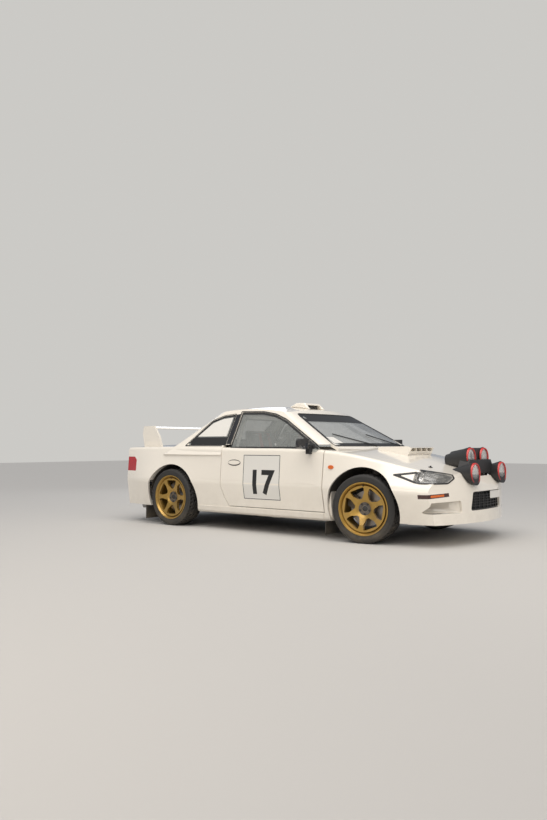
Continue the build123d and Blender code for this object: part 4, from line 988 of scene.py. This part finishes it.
# %% Brake scoops
DUCT = [(0.800, 0.300), (0.790, 0.398), (0.470, 0.410), (0.450, 0.300)]
DUCT_DEPTH = 0.030
for word, side in SIDES:
    corners = []
    for y, z in grown([(side * y, z) for y, z in DUCT], 0.004):
        point, _ = surface("front_bumper", (2.6, y, z), (-1, 0, 0))
        corners.append(point - Vector((0.0215, 0, 0)))
    clear()
    bpy.ops.mesh.primitive_plane_add(size=1)
    scoop = bpy.context.object
    for index, corner in zip((0, 1, 3, 2), corners):
        scoop.data.vertices[index].co = corner
    scoop.data.update()
    if scoop.data.polygons[0].normal.x < 0:
        scoop.data.flip_normals()
    edit(scoop)
    select_all()
    inset(0.006)
    push(-DUCT_DEPTH, 0, 0)
    bpy.ops.transform.resize(value=(1, 0.90, 0.78))
    push(-DUCT_DEPTH, side * 0.012, 0.004)
    bpy.ops.transform.resize(value=(1, 0.72, 0.56))
    soften(scoop, 0.008, 3, angle_limit=math.radians(25))
    modify(scoop, "SOLIDIFY", thickness=0.002, offset=-1.0)
    done(scoop, f"brake_scoop_{word}", paint, "car", 50)
print("scoops behind the side openings")

# %% [markdown]
# A plain white plate hangs in the bumper's mouth, and another sits on the tail. Both are blank. A
# black sheet behind the grille is painted shade for the dark inside of the empty nose.

# %% Blank plates and the painted shade behind the grille
PLATE_Y = 0.178
PLATE_Z = 0.440
probes = [surface("grille", (2.6, PLATE_Y + 0.01 * a, PLATE_Z + 0.005 * b), (-1, 0, 0))[0]
          for a in range(-11, 12) for b in range(-6, 7)]
plate_x = max(point.x for point in probes if point) + 0.004
plate = made(CUBE, size=1, location=(plate_x, PLATE_Y, PLATE_Z), scale=(0.003, 0.235, 0.070))
modify(plate, "BEVEL", width=0.0012, segments=2)
pick_in(plate, lambda face: face.normal.x > 0.9 and face.area > 0.005)
inset(0.004)
bpy.ops.transform.translate(value=(-0.0006, 0, 0))
done(plate, "front_plate", white_plate, "car")
laid("rear_plate_frame", oblong(-0.180, 0.440, 0.180, 0.556), "rear", "rear_bumper", ink, "car", 0.004,
     round_by=0.008)
laid("rear_plate", oblong(-0.170, 0.449, 0.170, 0.547), "rear", "rear_bumper", white_plate, "car", 0.0052,
     round_by=0.006)
# A black sheet pushed in behind the grille: painted shade for the nose's dark inside.
laid("grille_shade_sheet", [(-0.350, 0.300), (0.350, 0.300), (0.330, 0.496), (-0.330, 0.496)], "front",
     "front_bumper grille", ink, "car", 0.002, pitch=0.05, lift=-0.045)
print("plates are blank, grille backed")

# %% [markdown]
# The mirror is a black shell with a glossy cap below. The cap is a copy of the shell with its top
# and its arm bisected off, thickened outwards. The glass is a bright plate on the shell's rear.

# %% Mirrors
CAP_TOP, CAP_BOTTOM = 0.922, 0.870
for word, side in SIDES:
    cover = node_copy(f"mirror_{word}")
    edit(cover)
    select_all()
    bpy.ops.mesh.remove_doubles(threshold=0.00002)
    for place, normal, outer in (((0, 0, CAP_TOP), (0, 0, 1), True),
                                 ((0, side * 0.852, 0), (0, side, 0), False),
                                 ((0, 0, CAP_BOTTOM), (0, 0, 1), False)):
        select_all()
        bpy.ops.mesh.bisect(plane_co=place, plane_no=normal, clear_outer=outer, clear_inner=not outer)
    modify(cover, "SOLIDIFY", thickness=0.0016, offset=1.0)
    done(cover, f"mirror_cover_{word}", gloss_black, f"door_{word}", 40)
    clear()
    bpy.ops.mesh.primitive_circle_add(vertices=32, radius=0.5, fill_type="NGON",
                                      location=(0.6542, side * 0.925, 0.918), rotation=(0, -math.pi / 2, 0))
    glass = bpy.context.object
    glass.scale = (0.078, 0.122, 1)
    settle(glass)
    modify(glass, "SOLIDIFY", thickness=0.0015, offset=1.0)
    soften(glass, 0.0006)
    done(glass, f"mirror_glass_{word}", chrome, f"door_{word}")
print("mirrors have glossy caps")

# %% [markdown]
# Door handles of this age lie flush: an oval dish with a flap across it. An outline of the dish in
# black with a smaller raised flap in body colour reads the same from a step away. The lamps at the
# tail and the nose get their amber and clear parts as thin sheets too.

# %% Handles, side markers, jacking holes and lamp parts
HANDLE_X = -0.285
for word, side in SIDES:
    door = f"door_{word}"
    laid(f"handle_dish_{word}", oval(HANDLE_X, 0.720, 0.178, 0.066), word, door, ink, door, 0.0008,
         pitch=0.02)
    laid(f"handle_flap_{word}", oval(HANDLE_X, 0.722, 0.166, 0.046), word, door, paint, door, 0.0045,
         pitch=0.02)
    laid(f"side_marker_{word}", oval(0.947, 0.694, 0.062, 0.038), word, "front_fenders", amber_lens, "car",
         0.007, pitch=0.012)
    for index, x in enumerate((-0.600, 0.730)):
        laid(f"jack_hole_{word}_{index}", oval(x, 0.222, 0.046, 0.030, 14), word, "body_shell", ink, "car",
             0.0008, pitch=0.02)
laid("tail_seam", oblong(-0.46, 0.662, 0.46, 0.668), "rear", "boot_lid", ink, "boot_lid", 0.0006)
for word, side in SIDES:
    for name, inner, outer, colour in (("amber", 0.585, 0.655, amber_lens), ("white", 0.50, 0.575, fluted)):
        laid(f"tail_{name}_{word}", oblong(side * inner, 0.612, side * outer, 0.660), "rear", "tail_lamps",
             colour, "car", 0.0012, round_by=0.008)
    laid(f"indicator_amber_{word}",
         [(side * y, z) for y, z in ((0.66, 0.453), (0.79, 0.444), (0.79, 0.464), (0.66, 0.472))],
         "front", "indicators", amber_lens, "car", 0.0010, round_by=0.005, pitch=0.02)
print("handles, markers and lamp segments in place")

# %% [markdown]
# The two upper lamps share one black cowl that slopes back to the bonnet. It is a block between the
# pods with its rear face drawn down and its edges rounded. Small vanes stand in the bonnet scoop, a
# black flap closes the mouth of the roof vent, its black also painted shade for the vent's dark
# inside, and the vent itself is remeshed and smoothed to a dome.

# %% Lamp cowl, scoop vanes, vent flap and dome
cowl = made(CUBE, size=1, location=(1.945, 0, 0.795), scale=(0.205, 0.300, 0.180))
pick_in(cowl, lambda face: face.normal.x < -0.9)
bpy.ops.transform.resize(value=(1, 0.86, 0.55))
bpy.ops.transform.translate(value=(-0.02, 0, -0.005))
soften(cowl, 0.030, 4)
done(cowl, "lamp_cowl", black, "bonnet", 45)
vane = made(CUBE, size=1, location=(1.405, 0, 0.861), scale=(0.150, 0.012, 0.034))
modify(vane, "BEVEL", width=0.004, segments=3)
vane.data.materials.append(paint)
for index, y in enumerate((-0.112, 0.0, 0.112)):
    copy_of(vane, f"scoop_vane_{index}", "bonnet", Matrix.Translation((0, y, 0)))
forget(vane)
# A flap in the vent's mouth, its black also painted shade for the dark inside of the vent.
flap = made(CUBE, size=1, location=(0.120, 0, 1.318), scale=(0.006, 0.226, 0.046))
pick_in(flap, lambda face: abs(face.normal.x) > 0.9)
inset(0.006)
bpy.ops.transform.resize(value=(0.5, 1, 1))
soften(flap, 0.0012)
done(flap, "vent_flap_shade", black, "car")
vent = node_copy("roof_vent")
modify(vent, "REMESH", mode="VOXEL", voxel_size=0.004)
modify(vent, "SMOOTH", iterations=45, factor=0.5)
done(vent, "roof_vent_dome", paint, "car", 60)
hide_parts("roof_vent")
print("cowl, vanes, flap and vent dome added")

# %% [markdown]
# A fine crease runs along the side between the wheels, and the sill below it bulges out. The
# crease is a slim ridge pressed on each panel in turn, so that it breaks at the door's edges.
# The sill's bulge is a thicker strip with rounded edges. Thin covers close the door over its hinges.

# %% Side crease, sill bulge and hinge covers
CREASE_HALF = 0.003
for word, side in SIDES:
    door = f"door_{word}"
    for name, node, body, x0, z0, x1, z1 in (
        ("rear", "body_shell", "car", -0.842, 0.548, -0.484, 0.541),
        ("door_back", door, door, -0.462, 0.541, -0.163, 0.538),
        ("door_front", door, door, 0.339, 0.533, 0.843, 0.528),
    ):
        strip = [(x0, z0 - CREASE_HALF), (x1, z1 - CREASE_HALF), (x1, z1 + CREASE_HALF),
                 (x0, z0 + CREASE_HALF)]
        laid(f"crease_{name}_{word}", strip, word, node, paint, body, 0.0016, pitch=0.06)
    sill = laid(f"sill_bulge_{word}", oblong(-0.830, 0.196, 0.846, 0.250), word, "body_shell", paint, "car",
                0.008, round_by=0.012, pitch=0.06)
    soften(sill, 0.005, 3, angle_limit=math.radians(50))
    for index, (low, high) in enumerate(((0.404, 0.506), (0.506, 0.622))):
        laid(f"hinge_cover_{word}_{index}", oblong(0.772, low, 0.8435, high), word, door, paint, door, 0.0018,
             pitch=1.0)
laid("bumper_seam", oblong(-0.80, 0.486, 0.80, 0.490), "rear", "rear_bumper", ink, "car", 0.0005, pitch=0.05)
print("creases, sills and hinge covers on both sides")

# %% [markdown]
# The seats are fibreglass buckets, which the imported node gives. Their pads are real cushions:
# crowned blocks that a cloth simulation swells from inside and a subdivision smooths.

# %% Seat cushions
SEAT_Y = 0.365
SWELL = 0.010
shell_finish = finish("seat_shell", (0.030, 0.030, 0.032), (0.045, 0.044, 0.043), (0.20, 0.34), coat=0.5,
                      scale=8.0, grain=0.1, grain_size=500.0)
nodes["seats"].data.materials[0] = shell_finish
pad_cloth = finish("pad_cloth", (0.030, 0.032, 0.038), (0.050, 0.052, 0.058), (0.85, 0.96), scale=24.0,
                   grain=0.9, grain_size=1400.0, Sheen_Weight=0.5)
PADS = (
    ("seat_base", (-0.030, 0.0, 0.424), (0.330, 0.300, 0.060), 7.0),
    ("seat_back", (-0.212, 0.0, 0.640), (0.055, 0.300, 0.330), -10.0),
    ("seat_head", (-0.280, 0.0, 0.935), (0.050, 0.300, 0.190), -5.0),
)


def cushion(name, middle, size, tilt):
    """One pad: a block with its edges rounded, cut into small squares and swelled as cloth."""
    pad = made(CUBE, size=1, location=(0, 0, 0), scale=size)
    soften(pad, min(size) * 0.42, 3)
    modify(pad, "REMESH", mode="VOXEL", voxel_size=0.008)
    before = [vertex.co.copy() for vertex in pad.data.vertices]
    grab(pad)
    cloth = pad.modifiers.new("cloth", "CLOTH")
    cloth.settings.quality = 4
    cloth.settings.use_pressure = True
    cloth.settings.uniform_pressure_force = 4
    cloth.settings.effector_weights.gravity = 0
    scene = bpy.context.scene
    for step in range(1, 21):
        scene.frame_set(step)
    bpy.ops.object.modifier_apply(modifier="cloth")
    scene.frame_set(1)
    for vertex, place in zip(pad.data.vertices, before):
        move = vertex.co - place
        if move.length > SWELL:
            vertex.co = place + move.normalized() * SWELL
    modify(pad, "SUBSURF", levels=1, render_levels=1)
    clear()
    pad.location = middle
    pad.rotation_euler = (0, math.radians(tilt), 0)
    return done(pad, name, pad_cloth, "car", 60)


for name, middle, size, tilt in PADS:
    pad = cushion(name, middle, size, tilt)
    for word, side in SIDES:
        twin = copy_of(pad, f"{name}_{word}", "car", Matrix.Translation((0, side * SEAT_Y, 0)))
        print(twin.name, "faces", len(twin.data.polygons))
    forget(pad)

# %% [markdown]
# Racing belts are flat webbing over each shoulder, down the pad to one buckle, and round the
# hips. Each is a strip extruded along its path and thickened.

# %% Belts
def strap(name, points, width, across_by=(0, 1, 0)):
    """A flat strip of red webbing along the points."""
    clear()
    bpy.ops.mesh.primitive_plane_add(size=1)
    band = bpy.context.object
    sideways = Vector(across_by) * (width / 2)
    first, last = Vector(points[0]), Vector(points[1])
    for index, place in enumerate((first - sideways, first + sideways, last - sideways, last + sideways)):
        band.data.vertices[index].co = place
    edit(band, "EDGE")
    for point in points[2:]:
        here = Vector(point)
        pick(band, lambda edge: all((band.data.vertices[i].co - last).length < width * 0.51
                                    for i in edge.vertices), "edges")
        push(*(here - last))
        last = here
    modify(band, "SUBSURF", levels=1, render_levels=1, subdivision_type="SIMPLE")
    modify(band, "SOLIDIFY", thickness=0.003, offset=0.0)
    done(band, name, belt_red, "car", 60)


for word, side in SIDES:
    centre = side * SEAT_Y
    for index, y in enumerate((-0.075, 0.075)):
        middle = centre + y
        strap(f"shoulder_belt_{word}_{index}",
              [(-0.345, middle, 1.040), (-0.262, middle, 1.034), (-0.226, middle, 0.900),
               (-0.150, middle * 0.985 + side * 0.005, 0.690), (-0.118, centre + y * 0.45, 0.500)], 0.050)
        strap(f"hip_belt_{word}_{index}", [(-0.118, centre + y * 0.5, 0.488),
                                           (-0.128, centre + y * 2.1, 0.470)],
              0.045, (0, 0, 1))
    buckle = made(CYLINDER, vertices=24, radius=0.030, depth=0.016, location=(-0.108, centre, 0.492),
                  rotation=(0, math.radians(70), 0))
    pick_in(buckle, lambda face: face.normal.x > 0.8)
    inset(0.010)
    bpy.ops.transform.translate(value=(0.004, 0, 0.0015))
    soften(buckle, 0.0015)
    done(buckle, f"buckle_{word}", steel, "car")
print("belts and buckles on both seats")

# %% [markdown]
# What shows through the glass ahead of the seats is a flat dashboard with a row of round dials and
# a panel of switches. Dials are shallow spun bezels with pale faces, plain and without words.

# %% Dashboard dials and switches
DIAL = [(0.0375, 0.000), (0.0375, 0.007), (0.0350, 0.009), (0.0325, 0.006), (0.0325, 0.003), (0.0003, 0.0028),
        (0.0003, 0.000)]
FACE = [(0.0322, 0.0032), (0.0003, 0.0036), (0.0003, 0.0030), (0.0322, 0.0029)]
face_finish = finish("dial_face", (0.30, 0.30, 0.29), (0.24, 0.24, 0.23), (0.30, 0.40), scale=30.0)
dial = spun("dial", DIAL, black, "car", steps=32)
dial_face = spun("dial_face", FACE, face_finish, "car", steps=32)
for index, y in enumerate((0.285, 0.365, 0.445, -0.300, -0.380)):
    place = Matrix.Translation((0.592, y, 0.790)) @ Matrix.Rotation(math.pi, 4, "Z")
    for part in (dial, dial_face):
        copy_of(part, f"{part.name}_{index}", "car", place)
forget(dial, dial_face)
panel = made(CUBE, size=1, location=(0.588, 0.0, 0.785), scale=(0.014, 0.240, 0.070))
pick_in(panel, lambda face: face.normal.x < -0.9)
inset(0.006)
push(0.003, 0, 0)
soften(panel, 0.0015)
done(panel, "switch_panel", gloss_black, "car")
switch = made(CYLINDER, vertices=10, radius=0.005, depth=0.022, rotation=ALONG_X)
pick_in(switch, lambda face: face.normal.x < -0.9)
bpy.ops.transform.resize(value=(1, 0.6, 0.6))
clear()
switch.data.materials.append(steel)
for index in range(6):
    copy_of(switch, f"switch_{index}", "car", Matrix.Translation((0.580, -0.09 + 0.036 * index, 0.785)))
forget(switch)
print("dials and switches set")

# %% [markdown]
# The tail pipe ends in a rolled bright tip, which is spun from its wall's outline and set on the
# pipe's end, along the pipe.

# %% Exhaust tip
TIP = [(0.0300, 0.000), (0.0345, -0.004), (0.0345, 0.060), (0.0325, 0.064), (0.0290, 0.060), (0.0290, 0.006)]
PIPE_END = Vector((-2.140, -0.440, 0.158))
PIPE_BEND = Vector((-1.860, -0.410, 0.196))
along = (PIPE_END - PIPE_BEND).normalized()
tip_place = Matrix.Translation(PIPE_END - along * 0.062) @ along.to_track_quat("X", "Z").to_matrix().to_4x4()
spun("exhaust_tip", TIP, steel, "car", steps=40, matrix=tip_place)
print("exhaust tip", short(tip_place.translation))

# %% Clearing away the forms
forget(*forms.values())
